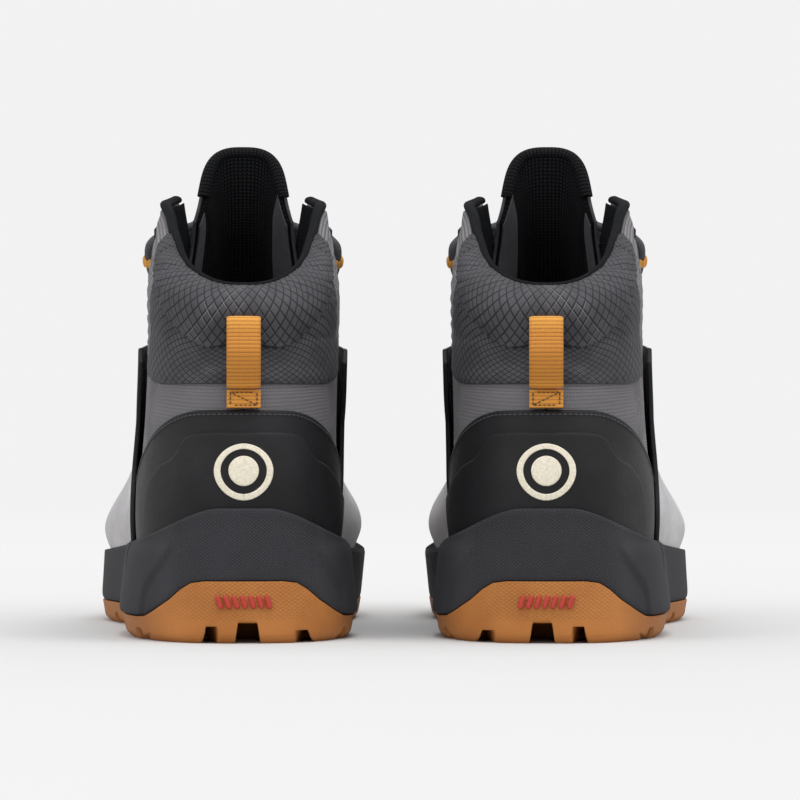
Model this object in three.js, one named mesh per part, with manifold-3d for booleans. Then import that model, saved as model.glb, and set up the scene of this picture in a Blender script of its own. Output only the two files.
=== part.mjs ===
// A pair of mid-height hiking boots, in millimetres, +Z up, toes towards +Y.
// Each boot is modelled once, as a right boot with its heel at y = 0 and its outer side at +X,
// and the left boot is its mirror image.
//
// The upper is one smooth closed shape. A place on it is an angle round the boot (0 at the back of
// the heel, PI at the toe, positive on the outer side) and a level (0 at the feather edge, where the
// upper meets the sole, 1 at the crest of the collar). Every layer, from the lining out to the
// laces, is a patch of that shape, moved in or out along its normal.

import * as THREE from "three";
import { mergeVertices } from "three/addons/utils/BufferGeometryUtils.js";
import Module from "manifold-3d";

const wasm = await Module();
wasm.setup();

// ---------------------------------------------------------------- overall sizes
const SOLE_LENGTH = 300;
const BALL_WIDTH = 110;
const BOOT_HEIGHT = 197;
const HEEL_SPACING = 112.4; // between the two boots, heel centre to heel centre
const TOE_OUT = 3; // degrees that each boot points outwards

// ---------------------------------------------------------------- the sole
const LUG_HEIGHT = 4.5;
const OUTSOLE_BASE = 3; // rubber left above the lugs
const LIP_WALL = 2.6; // the rim of the outsole that wraps up over the midsole
const LIP_MIN = 1.6;
const HEEL_LIP_RISE = 14.5; // how much higher the rim climbs at the back of the heel
const TOE_LIP_RISE = 9;
const TOE_SPRING = 14;
const TOE_SPRING_START = 200; // distance from the heel where the sole starts to lift
const MIDSOLE_RIM = 3.2; // thickness of the midsole's rim against the upper
const LUG_GROOVE = 5;
const SHANK_THICKNESS = 1.5;
const SHANK_HALF_WIDTH = 14;
const BOARD_THICKNESS = 1.6;
const FOOTBED_THICKNESS = 5;

// ---------------------------------------------------------------- the layers of the upper
const GAP = 0.6; // between two layers
const INNER_GAP = 0.8; // between the layers inside the fabric
const SEAM = 0.004; // between two panels of one layer, as a share of a level
const FABRIC = 1.6;
const STIFFENER = 1.4;
const LINING = 1.2;
const COLLAR_FOAM = 4.4; // extra depth of padding in the collar
const PAD_BULGE = 1.6; // how far the padded panels stand proud of the fabric
const OVERLAY = 1.8;
const TONGUE_THICKNESS = 6;
const TONGUE_EDGE = 3.4;
const THROAT_HALF_BOTTOM = 12; // half the gap between the eyestays, at the vamp
const THROAT_HALF_TOP = 29;
const TONGUE_OVERLAP = 7; // how far the tongue reaches under each eyestay

// ---------------------------------------------------------------- laces and pull tab
const LACE_DIAMETER = 4;
const KEEPER_CLEARANCE = 0.7; // round the lace, inside a keeper
const KEEPER_WALL = 1.2;
const KEEPER_LENGTH = 5.2;
const KEEPER_BAND = 1;
const TAB_WIDTH = 12.7;
const TAB_THICKNESS = 1.5;
const TAB_FOOT_HEIGHT = 7; // the stitched foot
const TAB_LOOP_HEIGHT = 27;
const TAB_LOOP_GAP = 8; // the finger room in the loop
const BADGE_RADIUS = 9.5;
const BADGE_THICKNESS = 0.9;
const MARK_WIDTH = 21;
const MARK_HEIGHT = 5;
const MARK_THICKNESS = 1;

// Levels where one panel ends and the next starts.
const THROAT_LEVEL = 0.46;
const BACK_PANEL_LEVEL = 0.59; // bottom of the ankle pad at the back
const COLLAR_SEAM_LEVEL = 0.735; // between ankle pad and collar roll, at the back
const LACE_LEVELS = [0.5, 0.57, 0.64, 0.71, 0.78, 0.85];

// ---------------------------------------------------------------- the shape of the upper
// Closed level lines, drawn for a 300 mm sole, 110 mm across the ball and 197 mm high.
// back and front are [y, z]; half and centre are across the boot at STATIONS, shares of the way
// from back to front; sag lowers the line there; square is how square the heel and toe ends are,
// the power of a superellipse.
const STATIONS = [0, 0.13, 0.42, 0.64, 0.82, 1];
const LEVELS = [
  { level: 0, back: [8, 31], front: [290, 33], square: [3, 2.6],
    half: [40, 43, 36, 51, 52, 46], centre: [0, 1, 5, 4, -1, -9], sag: [0, 0.5, 3.5, 8, 7, 0] },
  { level: 0.12, back: [3.5, 47], front: [291, 49], square: [3, 2.7],
    half: [40, 43.5, 37, 53, 54, 47], centre: [0, 1, 5, 4, -1, -9], sag: [0, 0, 3, 7, 5.5, 0] },
  { level: 0.26, back: [2.5, 64], front: [278, 63], square: [2.9, 2.6],
    half: [39, 42.5, 38, 43, 41, 36], centre: [0, 1, 3, 3, -2, -8], sag: [0, 0, 2, 2, 1, 0] },
  { level: 0.5, back: [7, 89], front: [212, 87], square: [2.7, 2.8],
    half: [36, 39.5, 37.5, 34, 31, 26], centre: [0, 0.5, 1, 1, 0, -3], sag: [0, 0, 0, 0, 0, 0] },
  { level: 0.75, back: [13, 112], front: [152, 131], square: [2.6, 2.8],
    half: [35, 38, 37.5, 35, 32, 27], centre: [0, 0, 0, 0, 0, 0], sag: [0, 0, 0, 0, 0, 0] },
  { level: 0.88, back: [9.5, 124], front: [131, 163], square: [2.6, 2.8],
    half: [35, 38, 37, 36, 35, 31], centre: [0, 0, 0, 0, 0, 0], sag: [0, 0, 0, 0, 0, 0] },
  { level: 0.95, back: [12, 131], front: [124, 180], square: [2.6, 2.8],
    half: [31, 34, 34, 34.5, 34.5, 31], centre: [0, 0, 0, 0, 0, 0], sag: [0, 0, 0, 0, 0, 0] },
  { level: 1, back: [19, 135], front: [118, 197.5], square: [2.6, 2.8],
    half: [24, 26, 28, 32, 33.5, 31], centre: [0, 0, 0, 0, 0, 0], sag: [0, 0, 0, 0, 0, 0] },
];
const SCALE_X = BALL_WIDTH / 110;
const SCALE_Y = SOLE_LENGTH / 300;
const SCALE_Z = BOOT_HEIGHT / 197;

const clamp = (value, low, high) => Math.min(high, Math.max(low, value));
const mix = (a, b, t) => a + (b - a) * t;
const smoothstep = (low, high, value) => {
  const t = clamp((value - low) / (high - low), 0, 1);
  return t * t * (3 - 2 * t);
};

// The smooth curve through (knots[i], values[i]) at t, by cubic Hermite pieces, straight beyond its ends.
function through(knots, values, t) {
  const last = knots.length - 1;
  const rise = (i, j) => (values[j] - values[i]) / (knots[j] - knots[i]);
  const slope = (i) => rise(Math.max(0, i - 1), Math.min(last, i + 1));
  if (t <= knots[0]) return values[0] + rise(0, 1) * (t - knots[0]);
  if (t >= knots[last]) return values[last] + rise(last - 1, last) * (t - knots[last]);
  let i = 0;
  while (t > knots[i + 1]) i += 1;
  const width = knots[i + 1] - knots[i];
  const u = (t - knots[i]) / width;
  const u2 = u * u;
  const u3 = u2 * u;
  return (
    (2 * u3 - 3 * u2 + 1) * values[i] +
    (u3 - 2 * u2 + u) * width * slope(i) +
    (3 * u2 - 2 * u3) * values[i + 1] +
    (u3 - u2) * width * slope(i + 1)
  );
}

const LEVEL_KNOTS = LEVELS.map((line) => line.level);
const atLevel = (pick, level) => through(LEVEL_KNOTS, LEVELS.map(pick), level);
const atStation = (key, share, level) =>
  through(STATIONS, STATIONS.map((_, i) => atLevel((line) => line[key][i], level)), share);

// A rounded square's point at an angle: how far across, and the share of the way from back to front.
function roundedSquare(angle, level) {
  const power = mix(
    atLevel((line) => line.square[0], level),
    atLevel((line) => line.square[1], level),
    (1 - Math.cos(angle)) / 2,
  );
  const [across, back] = [Math.abs(Math.sin(angle)), Math.abs(Math.cos(angle))];
  const radius = (across ** power + back ** power) ** (-1 / power);
  return { across: across * radius, share: (1 - Math.cos(angle) * radius) / 2 };
}

// Half the upper's width at an angle and a level, before the centre line is added.
function halfWidth(angle, level) {
  const { across, share } = roundedSquare(angle, level);
  return SCALE_X * atStation("half", share, level) * across;
}

// The point of the upper's outer face at an angle and a level.
function onUpper(angle, level) {
  const { share } = roundedSquare(angle, level);
  const side = Math.sin(angle) < 0 ? -1 : 1;
  const ends = (key, axis) => atLevel((line) => line[key][axis], level);
  return new THREE.Vector3(
    side * halfWidth(angle, level) + SCALE_X * atStation("centre", share, level),
    SCALE_Y * mix(ends("back", 0), ends("front", 0), share),
    SCALE_Z * (mix(ends("back", 1), ends("front", 1), share) - atStation("sag", share, level)),
  );
}

const ANGLE_STEP = 0.03;
const LEVEL_STEP = 0.01;

// The tangent round the boot, the tangent up it, and the outward normal, at an angle and a level.
function frameAt(angle, level) {
  const round = onUpper(angle + ANGLE_STEP, level).sub(onUpper(angle - ANGLE_STEP, level)).normalize();
  const up = onUpper(angle, level + LEVEL_STEP).sub(onUpper(angle, level - LEVEL_STEP)).normalize();
  return { round, up, out: round.clone().cross(up).normalize() };
}

// The point a distance out from the upper's face.
const offUpper = (angle, level, out) => onUpper(angle, level).addScaledVector(frameAt(angle, level).out, out);

// The angle, between the middle of the boot and its front, where the upper is this wide.
function angleAtWidth(level, width) {
  let [low, high] = [Math.PI / 2, Math.PI];
  for (let i = 0; i < 30; i += 1) {
    const middle = (low + high) / 2;
    if (halfWidth(middle, level) > width) low = middle;
    else high = middle;
  }
  return low;
}

// The front edge of the quarters: the seam to the vamp below, the edge of the throat above.
const throatHalf = (level) =>
  mix(THROAT_HALF_BOTTOM, THROAT_HALF_TOP, clamp((level - THROAT_LEVEL) / (1 - THROAT_LEVEL), 0, 1));
const SEAM_START = 1.75; // the angle where the vamp seam reaches the sole
function quarterEdge(level) {
  if (level >= THROAT_LEVEL) return angleAtWidth(level, throatHalf(level));
  const top = angleAtWidth(THROAT_LEVEL, throatHalf(THROAT_LEVEL));
  return mix(SEAM_START, top, clamp(level / THROAT_LEVEL, 0, 1) ** 1.5);
}

// ---------------------------------------------------------------- solids from points
const flatten = (points) => new Float32Array(points.flatMap((p) => [p.x, p.y, p.z]));

function geometryOf(points, faces) {
  return new THREE.BufferGeometry()
    .setAttribute("position", new THREE.BufferAttribute(flatten(points), 3))
    .setIndex(faces.flat());
}

// A four-sided face, split along its shorter diagonal, so that layers fold alike.
function quad(points, a, b, c, d) {
  const other = points[b].distanceTo(points[d]) < points[a].distanceTo(points[c]) - 1e-6;
  return other ? [b, c, d, b, d, a] : [a, b, c, a, c, d];
}

// The numbers from one to another in equal steps.
const steps = (from, to, count) => Array.from({ length: count + 1 }, (_, i) => mix(from, to, i / count));

// A closed panel: place(column, row) gives its angle and level, inner and outer how far its two
// faces lie out from the upper, as numbers or as functions of the column and the row.
function panel(columns, rows, place, inner, outer) {
  const [across, along] = [columns.length - 1, rows.length - 1];
  const points = [outer, inner].flatMap((face) =>
    rows.flatMap((row) =>
      columns.map((column) => {
        const [angle, level] = place(column, row);
        return offUpper(angle, level, typeof face === "function" ? face(column, row) : face);
      }),
    ),
  );
  const layer = columns.length * rows.length;
  const at = (i, j, face) => face * layer + j * columns.length + i;
  const faces = [];
  for (let j = 0; j < along; j += 1)
    for (let i = 0; i < across; i += 1) {
      faces.push(quad(points, at(i, j, 0), at(i + 1, j, 0), at(i + 1, j + 1, 0), at(i, j + 1, 0)));
      faces.push(quad(points, at(i, j + 1, 1), at(i + 1, j + 1, 1), at(i + 1, j, 1), at(i, j, 1)));
    }
  for (let i = 0; i < across; i += 1) {
    faces.push(quad(points, at(i, 0, 1), at(i + 1, 0, 1), at(i + 1, 0, 0), at(i, 0, 0)));
    faces.push(quad(points, at(i, along, 0), at(i + 1, along, 0), at(i + 1, along, 1), at(i, along, 1)));
  }
  for (let j = 0; j < along; j += 1) {
    faces.push(quad(points, at(0, j, 1), at(0, j, 0), at(0, j + 1, 0), at(0, j + 1, 1)));
    faces.push(quad(points, at(across, j, 0), at(across, j, 1), at(across, j + 1, 1), at(across, j + 1, 0)));
  }
  return geometryOf(points, faces);
}

const SIDE_STEPS = 16; // steps along each side of a closed line

// A solid between closed lines, each a function of the angle; the first and the last line are
// closed off by strips across the boot.
function loft(lines, half = SIDE_STEPS) {
  const count = 2 * half;
  const points = lines.flatMap((line) =>
    Array.from({ length: count }, (_, k) => line((k <= half ? k : k - count) * (Math.PI / half))),
  );
  const at = (line, k) => line * count + ((k + count) % count);
  const faces = [];
  for (let l = 0; l + 1 < lines.length; l += 1)
    for (let k = 0; k < count; k += 1)
      faces.push(quad(points, at(l, k), at(l, k + 1), at(l + 1, k + 1), at(l + 1, k)));
  const last = lines.length - 1;
  for (let k = 0; k < half; k += 1) {
    const cap = (line) => [at(line, k), at(line, -k), at(line, -k - 1), at(line, k + 1)];
    const [a, b, c, d] = cap(0);
    const [e, f, g, h] = cap(last);
    if (k === 0) faces.push([a, c, d], [e, h, g]);
    else if (k === half - 1) faces.push([a, b, c], [e, g, f]);
    else faces.push(quad(points, a, b, c, d), quad(points, e, h, g, f));
  }
  return geometryOf(points, faces);
}

// A tube of a round section with one ring at each point of its route.
const TUBE_SIDES = 5;
function tube(route, radius) {
  const points = [];
  let side = new THREE.Vector3(1, 0.2, 0.1);
  route.forEach((p, i) => {
    const along = route[Math.min(i + 1, route.length - 1)].clone().sub(route[Math.max(i - 1, 0)]).normalize();
    side = side.clone().addScaledVector(along, -side.dot(along)).normalize();
    const other = along.clone().cross(side);
    for (let k = 0; k < TUBE_SIDES; k += 1) {
      const turn = (k * 2 * Math.PI) / TUBE_SIDES;
      const spot = p.clone().addScaledVector(side, radius * Math.cos(turn));
      points.push(spot.addScaledVector(other, radius * Math.sin(turn)));
    }
  });
  const faces = [];
  const at = (ring, k) => ring * TUBE_SIDES + ((k + TUBE_SIDES) % TUBE_SIDES);
  for (let r = 0; r + 1 < route.length; r += 1)
    for (let k = 0; k < TUBE_SIDES; k += 1)
      faces.push(quad(points, at(r, k), at(r, k + 1), at(r + 1, k + 1), at(r + 1, k)));
  const end = route.length - 1;
  for (let k = 1; k + 1 < TUBE_SIDES; k += 1)
    faces.push([at(0, 0), at(0, k + 1), at(0, k)], [at(end, 0), at(end, k), at(end, k + 1)]);
  return geometryOf(points, faces);
}

// ---------------------------------------------------------------- joining and cutting
function solidOf(geometry) {
  const bare = geometry.clone();
  bare.deleteAttribute("normal");
  bare.deleteAttribute("uv");
  const merged = mergeVertices(bare, 1e-3);
  return new wasm.Manifold(
    new wasm.Mesh({
      numProp: 3,
      vertProperties: merged.attributes.position.array,
      triVerts: new Uint32Array(merged.index.array),
    }),
  );
}

function geometryFrom(solid) {
  const mesh = solid.getMesh();
  const positions = new Float32Array(mesh.numVert * 3);
  for (let i = 0; i < mesh.numVert; i += 1)
    positions.set(mesh.vertProperties.subarray(i * mesh.numProp, i * mesh.numProp + 3), i * 3);
  return new THREE.BufferGeometry()
    .setAttribute("position", new THREE.BufferAttribute(positions, 3))
    .setIndex(new THREE.BufferAttribute(new Uint32Array(mesh.triVerts), 1));
}

const joined = (first, ...rest) =>
  geometryFrom(rest.reduce((solid, geometry) => solid.add(solidOf(geometry)), solidOf(first)));
const cut = (first, ...rest) =>
  geometryFrom(rest.reduce((solid, geometry) => solid.subtract(solidOf(geometry)), solidOf(first)));

// ---------------------------------------------------------------- the lines of the sole
const spring = (y) => TOE_SPRING * (Math.max(0, y - TOE_SPRING_START) / (SOLE_LENGTH - TOE_SPRING_START)) ** 2;

// How far the sole stands out past the feather edge: heel, outer ball, toe, inner ball.
const EDGE_HEEL = 8;
const EDGE_OUTER = 6.5;
const EDGE_INNER = 4;
const EDGE_TOE = 9;
function soleEdge(angle) {
  const ball = angle < 0 ? EDGE_INNER : EDGE_OUTER;
  return through([0, 0.9, 1.9, Math.PI], [EDGE_HEEL, EDGE_HEEL - 0.5, ball, EDGE_TOE], Math.abs(angle));
}

// A point beside the feather edge in plan, moved out by a distance, at a height.
function besideFeather(angle, out, z) {
  const p = onUpper(angle, 0);
  const along = onUpper(angle + ANGLE_STEP, 0).sub(onUpper(angle - ANGLE_STEP, 0)).setZ(0).normalize();
  return new THREE.Vector3(p.x + along.y * out, p.y - along.x * out, z);
}

const featherHeight = (angle) => onUpper(angle, 0).z;

// The outsole's rim: high at the back of the heel and at the toe, low along the sides.
const LIP_BASE = LUG_HEIGHT + OUTSOLE_BASE;
function lipTop(angle) {
  const heel = HEEL_LIP_RISE * (1 - smoothstep(0.4, 0.95, Math.abs(angle)));
  const toe = TOE_LIP_RISE * smoothstep(2.5, 2.95, Math.abs(angle));
  return LIP_BASE + LIP_MIN + heel + toe;
}

// The midsole's top edge, as a level of the upper.
const RIM_HEEL = 0.145;
const RIM_SIDE = 0.045;
const RIM_TOE = 0.08;
function rimLevel(angle) {
  const a = Math.abs(angle);
  const heel = (RIM_HEEL - RIM_SIDE) * (1 - smoothstep(0.15, 0.8, a));
  return RIM_SIDE + heel + (RIM_TOE - RIM_SIDE) * smoothstep(2.2, 2.8, a);
}

// A line of the sole: out past the feather edge by a distance, at a height that lifts at the toe.
const soleLine = (out, height) => (angle) => {
  const flat = besideFeather(angle, out(angle), 0);
  return flat.setZ(height(angle) + spring(flat.y));
};

// ---------------------------------------------------------------- the sole's pieces
const FLOOR_DROP = 1; // from the feather edge down to the midsole's floor
const RIM_GAP = 1.2;
const POCKET_FIT = 0.4;
const shankTop = (angle) => featherHeight(angle) - FLOOR_DROP - POCKET_FIT;
const SHANK_FROM = 0.16; // shares of the way from heel to toe
const SHANK_TO = 0.6;

// A flat strip down the middle of the sole: half width, and the heights of its two faces.
function strip(half, low, high, grow) {
  const line = (height) => (angle) => {
    const share = mix(SHANK_FROM, SHANK_TO, (1 - Math.cos(angle)) / 2);
    const shareAngle = Math.acos(1 - 2 * share);
    const p = onUpper(shareAngle, 0);
    const middle = SCALE_X * atStation("centre", share, 0);
    const end = grow * -Math.cos(angle);
    return new THREE.Vector3(middle + half * Math.sin(angle), p.y + end, height(shareAngle));
  };
  return loft([line(low), line(high)], 6);
}

function shank() {
  return strip(SHANK_HALF_WIDTH, (a) => shankTop(a) - SHANK_THICKNESS, shankTop, 0);
}

function midsole() {
  const under = (angle) => soleEdge(angle) - LIP_WALL - GAP;
  const cup = (angle) => offUpper(angle, rimLevel(angle), RIM_GAP);
  const body = loft([
    soleLine((a) => under(a) - 2, () => LIP_BASE + GAP),
    soleLine(under, () => LIP_BASE + GAP + 0.5),
    soleLine(under, (a) => lipTop(a) + GAP - 0.3),
    soleLine((a) => soleEdge(a) - 0.5, (a) => lipTop(a) + GAP),
    soleLine(soleEdge, (a) => lipTop(a) + GAP + 3),
    (angle) => offUpper(angle, rimLevel(angle) * 0.75, GAP + MIDSOLE_RIM + 1),
    (angle) => offUpper(angle, rimLevel(angle), GAP + MIDSOLE_RIM - 0.4),
    cup,
    (angle) => offUpper(angle, 0, RIM_GAP).setZ(featherHeight(angle) - FLOOR_DROP),
  ]);
  const pocketTop = (a) => featherHeight(a) + 1;
  const pocketFloor = (a) => shankTop(a) - SHANK_THICKNESS - POCKET_FIT;
  return cut(body, strip(SHANK_HALF_WIDTH + POCKET_FIT, pocketFloor, pocketTop, POCKET_FIT));
}

// A block that cuts one groove between two lugs, across the sole at y, swept back by an angle.
function groove(x, y, long, wide, turn) {
  const block = new THREE.BoxGeometry(long, wide, 2 * LUG_HEIGHT);
  return block.rotateZ(turn).translate(SCALE_X * x, y, spring(y));
}

const GROOVE_FIRST = 34; // distance of the first cross groove from the heel
const GROOVE_PITCH = 24;
const GROOVE_SWEEP = 0.3;
function outsole() {
  const body = loft([
    soleLine((a) => soleEdge(a) - 3.5, () => 0),
    soleLine((a) => soleEdge(a) - 1, () => LUG_HEIGHT),
    soleLine((a) => soleEdge(a) - 0.3, lipTop),
    soleLine((a) => soleEdge(a) - LIP_WALL, lipTop),
    soleLine((a) => soleEdge(a) - LIP_WALL - 0.2, () => LIP_BASE),
  ]);
  const grooves = [groove(0, 18, 11, 50, 0).translate(0, 0, 1.8)];
  for (let y = GROOVE_FIRST; y < SOLE_LENGTH - GROOVE_PITCH; y += GROOVE_PITCH)
    for (const side of [-1, 1]) grooves.push(groove(side * 42, y, 66, LUG_GROOVE, -side * GROOVE_SWEEP));
  return cut(body, ...grooves);
}

// A generic raised panel on the back of the outsole.
function outsoleMark() {
  const face = soleLine((a) => soleEdge(a) - 0.2, lipTop)(0).y;
  const block = new THREE.BoxGeometry(MARK_WIDTH * SCALE_X, MARK_THICKNESS, MARK_HEIGHT);
  return block.translate(0, face - MARK_THICKNESS / 2 - 0.5, LIP_BASE + 7.5);
}

// ---------------------------------------------------------------- what lies inside
const LINING_DEPTH = FABRIC + INNER_GAP + STIFFENER + INNER_GAP;
const insideLining = -(LINING_DEPTH + LINING);

const CREST_DEPTH = FABRIC + 4 * INNER_GAP; // of the lining, at the crest of the collar

// How fully a place is padded, from the share of the way round to the throat, and its level.
const padding = (round, level) => (1 - smoothstep(0.5, 0.78, Math.abs(round))) * smoothstep(0.5, 0.62, level);
function liningDepth(round, level) {
  const full = LINING_DEPTH + COLLAR_FOAM * padding(round, level);
  return mix(full, CREST_DEPTH, smoothstep(0.84, 1, level));
}

const inLast = (out, lift) => (angle) =>
  offUpper(angle, 0, out).setZ(featherHeight(angle) - FLOOR_DROP + lift);

const BOARD_LIFT = 0.4;
function lastingBoard() {
  const out = insideLining - GAP;
  return loft([inLast(out, BOARD_LIFT), inLast(out, BOARD_LIFT + BOARD_THICKNESS)], 16);
}

function footbed() {
  const low = BOARD_LIFT + BOARD_THICKNESS + 0.4;
  const out = insideLining - GAP - 0.8;
  return loft([inLast(out, low), inLast(out, low + FOOTBED_THICKNESS)], 16);
}

// ---------------------------------------------------------------- panels of the upper
// Behind the throat a column is a share of the way round to the throat's edge, so that every
// layer shares its columns: tenths of the way, and -1 and 1 at the two edges of the throat.
const tenths = (from, to) => steps(from, to, Math.round((to - from) * 10));
const atRound = (round, level) => [round * quarterEdge(level), level];
const between = (low, high) => (round, t) => atRound(round, mix(low(round), high(round), t));
const both = (value) => () => value;

// Rows of a panel that climbs from the feather edge past the foot of the throat to its top.
const QUARTER_TOP = 0.985;
const laceShare = (level) => 0.5 + (0.5 * (level - THROAT_LEVEL)) / (QUARTER_TOP - THROAT_LEVEL);
const CLIMB = [...steps(0, 0.5, 5), ...LACE_LEVELS.map(laceShare), 0.94, 0.975, 1];
const climb = (share, top) =>
  share < 0.5 ? 2 * share * THROAT_LEVEL : mix(THROAT_LEVEL, top, 2 * share - 1);

// The top of the woven quarters: low round the back, under the padded panels, and up to the crest
// in front of them. The two padded panels meet at the collar seam.
const PAD_EDGE = 0.58;
const THROAT_CORNER = 0.95; // the quarter's top, at the edge of the throat
const quarterTop = (round) =>
  mix(BACK_PANEL_LEVEL, QUARTER_TOP, clamp((Math.abs(round) - 0.5) * 10, 0, 1)) -
  (QUARTER_TOP - THROAT_CORNER) * smoothstep(0.7, 1, Math.abs(round));
const collarSeam = (round) => mix(COLLAR_SEAM_LEVEL, 0.96, clamp(Math.abs(round) / PAD_EDGE, 0, 1) ** 1.8);

function quarter(side) {
  const columns = side > 0 ? [SEAM, ...tenths(0.1, 1)] : [...tenths(-1, -0.1), -SEAM];
  return panel(columns, CLIMB, (round, r) => atRound(round, climb(r, quarterTop(round))), -FABRIC, 0);
}

// In front of the quarters a column is the share of the way from one seam to the other.
const VAMP_COLUMNS = steps(0, 1, 12);
const acrossVamp = (inset) => (column, level) => {
  const edge = quarterEdge(level) + inset;
  return [mix(edge, 2 * Math.PI - edge, column), level];
};

function vamp() {
  return panel(VAMP_COLUMNS, steps(0, THROAT_LEVEL - SEAM, 5), acrossVamp(4 * SEAM), -FABRIC, 0);
}

// The padded panels fill the depth from the lining out to a soft bulge.
const PAD_BACK = 1.5; // between their back and the lining
function pad(columns, low, high, rows) {
  const edge = columns[columns.length - 1];
  const level = (round, t) => mix(low(round), high(round), t);
  const inner = (round, t) => PAD_BACK - liningDepth(round, level(round, t));
  const bulge = (round, t) => PAD_BULGE * Math.sin(Math.PI * t) ** 0.6 * (1 - Math.abs(round / edge) ** 6);
  return panel(columns, steps(0, 1, rows), between(low, high), inner, bulge);
}

function anklePad() {
  const columns = [-PAD_EDGE, ...tenths(-0.5, 0.5), PAD_EDGE];
  return pad(columns, (r) => quarterTop(r) + SEAM, (r) => collarSeam(r) - SEAM, 4);
}

function collarPad() {
  const columns = [-PAD_EDGE, ...tenths(-0.5, 0.5), PAD_EDGE];
  return pad(columns, (r) => Math.max(collarSeam(r), quarterTop(r)) + SEAM, both(1), 4);
}

function collarLining() {
  const columns = [-0.985, ...tenths(-0.9, 0.9), 0.985];
  const corner = (round) => mix(QUARTER_TOP, THROAT_CORNER, smoothstep(0.7, 1, Math.abs(round)));
  const top = (round) => Math.max(quarterTop(round), corner(round));
  const level = (round, r) => Math.max(0.012, climb(r, top(round)) + (r === 1 ? 0.01 : 0));
  const outer = (round, r) => -liningDepth(round, level(round, r));
  return panel(columns, CLIMB, (c, r) => atRound(c, level(c, r)), (c, r) => outer(c, r) - LINING, outer);
}

function vampLining() {
  const rows = [0.012, ...steps(0, THROAT_LEVEL - SEAM, 5).slice(1, -1), THROAT_LEVEL - 0.02];
  return panel(VAMP_COLUMNS, rows, acrossVamp(0.03), -LINING_DEPTH - LINING, -LINING_DEPTH);
}

const STIFFENER_DEPTH = FABRIC + INNER_GAP + STIFFENER;
function heelStiffener() {
  const top = (round) => mix(0.48, 0.25, smoothstep(0.1, 0.5, Math.abs(round)));
  const place = between(both(0.012), top);
  return panel(tenths(-0.5, 0.5), steps(0, 1, 4), place, -STIFFENER_DEPTH, STIFFENER - STIFFENER_DEPTH);
}

function toeStiffener() {
  const rows = [0.012, ...steps(0, THROAT_LEVEL - SEAM, 5).slice(1, 4)];
  const columns = VAMP_COLUMNS.slice(3, 10);
  return panel(columns, rows, acrossVamp(4 * SEAM), -STIFFENER_DEPTH, STIFFENER - STIFFENER_DEPTH);
}

// Overlays lie on the fabric and start just above the midsole's rim.
const OVER = GAP;
const overRim = (angle) => rimLevel(angle) + 0.02;

function heelCup() {
  const top = (round) => 0.475 - 0.3 * smoothstep(0.2, 0.66, Math.abs(round));
  const low = (round) => overRim(round * quarterEdge(0.1));
  return panel(tenths(-0.6, 0.6), steps(0, 1, 5), between(low, top), OVER, OVER + OVERLAY);
}

// The side wings reach from the sole up to the laces, with the heel cup and the pads behind them.
const WING_TOP = 0.7;
const WING_GAP = OVER + 0.3;
function sideWing(side) {
  const rear = (level) => mix(0.66, 0.53, clamp(level * 2, 0, 1)) + Math.max(0, level - 0.55) * 0.8;
  const front = (level) => mix(0.985, 0.86, smoothstep(0.36, THROAT_LEVEL, level));
  const columns = steps(0.5, 1, 5);
  const levels = [overRim(1.4), ...CLIMB.map((r) => climb(r, QUARTER_TOP)).slice(1, 9), WING_TOP];
  const place = (column, level) => {
    const inside = clamp(column, rear(level) + 0.03, front(level) - 0.03);
    const round = column === 0.5 ? rear(level) : column === 1 ? front(level) : inside;
    return atRound(side * round, level);
  };
  const ordered = side > 0 ? columns : columns.reverse();
  return panel(ordered, levels, place, WING_GAP, WING_GAP + OVERLAY);
}

function toeCap() {
  const rise = [...steps(0, 0.6, 3), 1];
  const columns = VAMP_COLUMNS.slice(2, 11);
  const place = (column, t) => {
    const low = overRim(Math.PI);
    const level = mix(low, 0.25 - 0.09 * Math.abs(3 * column - 1.5) ** 3, t);
    return acrossVamp(4 * SEAM)(column, level);
  };
  return panel(columns, rise, place, WING_GAP, WING_GAP + OVERLAY);
}

// The share of the way round where the eyestay starts and stops, and where the lace keepers sit.
const EYESTAY_BACK = 0.87;
const EYESTAY_FRONT = 0.99;
const KEEPER_ROUND = 0.93;

// The quarters' own rows between two levels, so that a strip along the throat folds as they do.
function eyestayLevels(low, high) {
  const rows = CLIMB.map((r) => climb(r, QUARTER_TOP)).filter((level) => level > low + 0.01 && level < high - 0.01);
  return [low, ...rows, high];
}

function eyestay(side) {
  const outward = [EYESTAY_BACK, KEEPER_ROUND, EYESTAY_FRONT];
  const columns = side > 0 ? outward : outward.map((round) => -round).reverse();
  return panel(columns, eyestayLevels(THROAT_LEVEL + SEAM, 0.925), atRound, WING_GAP, WING_GAP + OVERLAY);
}

// ---------------------------------------------------------------- the tongue
const TONGUE_FOOT = THROAT_LEVEL - 0.06;
const TONGUE_TOP = 1;
const TONGUE_ARCH = 0.08; // how much lower the corners of its top edge are
function tongue() {
  const edge = (level) => {
    const overlap = TONGUE_OVERLAP * (smoothstep(TONGUE_FOOT - 0.02, 0.5, level) - smoothstep(0.8, 0.93, level));
    return angleAtWidth(level, throatHalf(level) + overlap);
  };
  const place = (column, row) => {
    const top = TONGUE_TOP - TONGUE_ARCH * Math.abs(2 * column - 1) ** 3;
    const level = mix(TONGUE_FOOT, top, row);
    return [mix(edge(level), 2 * Math.PI - edge(level), column), level];
  };
  const outer = (column, row) => {
    const [angle, level] = place(column, row);
    const middle = 1 - smoothstep(0.35, 0.95, halfWidth(angle, level) / throatHalf(level));
    return insideLining - 1 + 5.8 * middle * smoothstep(THROAT_LEVEL, THROAT_LEVEL + 0.08, level);
  };
  const thickness = (column) => mix(TONGUE_THICKNESS, TONGUE_EDGE, (2 * column - 1) ** 2);
  return panel(steps(0, 1, 10), steps(0, 1, 8), place, (c, r) => outer(c, r) - thickness(c), outer);
}

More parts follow.
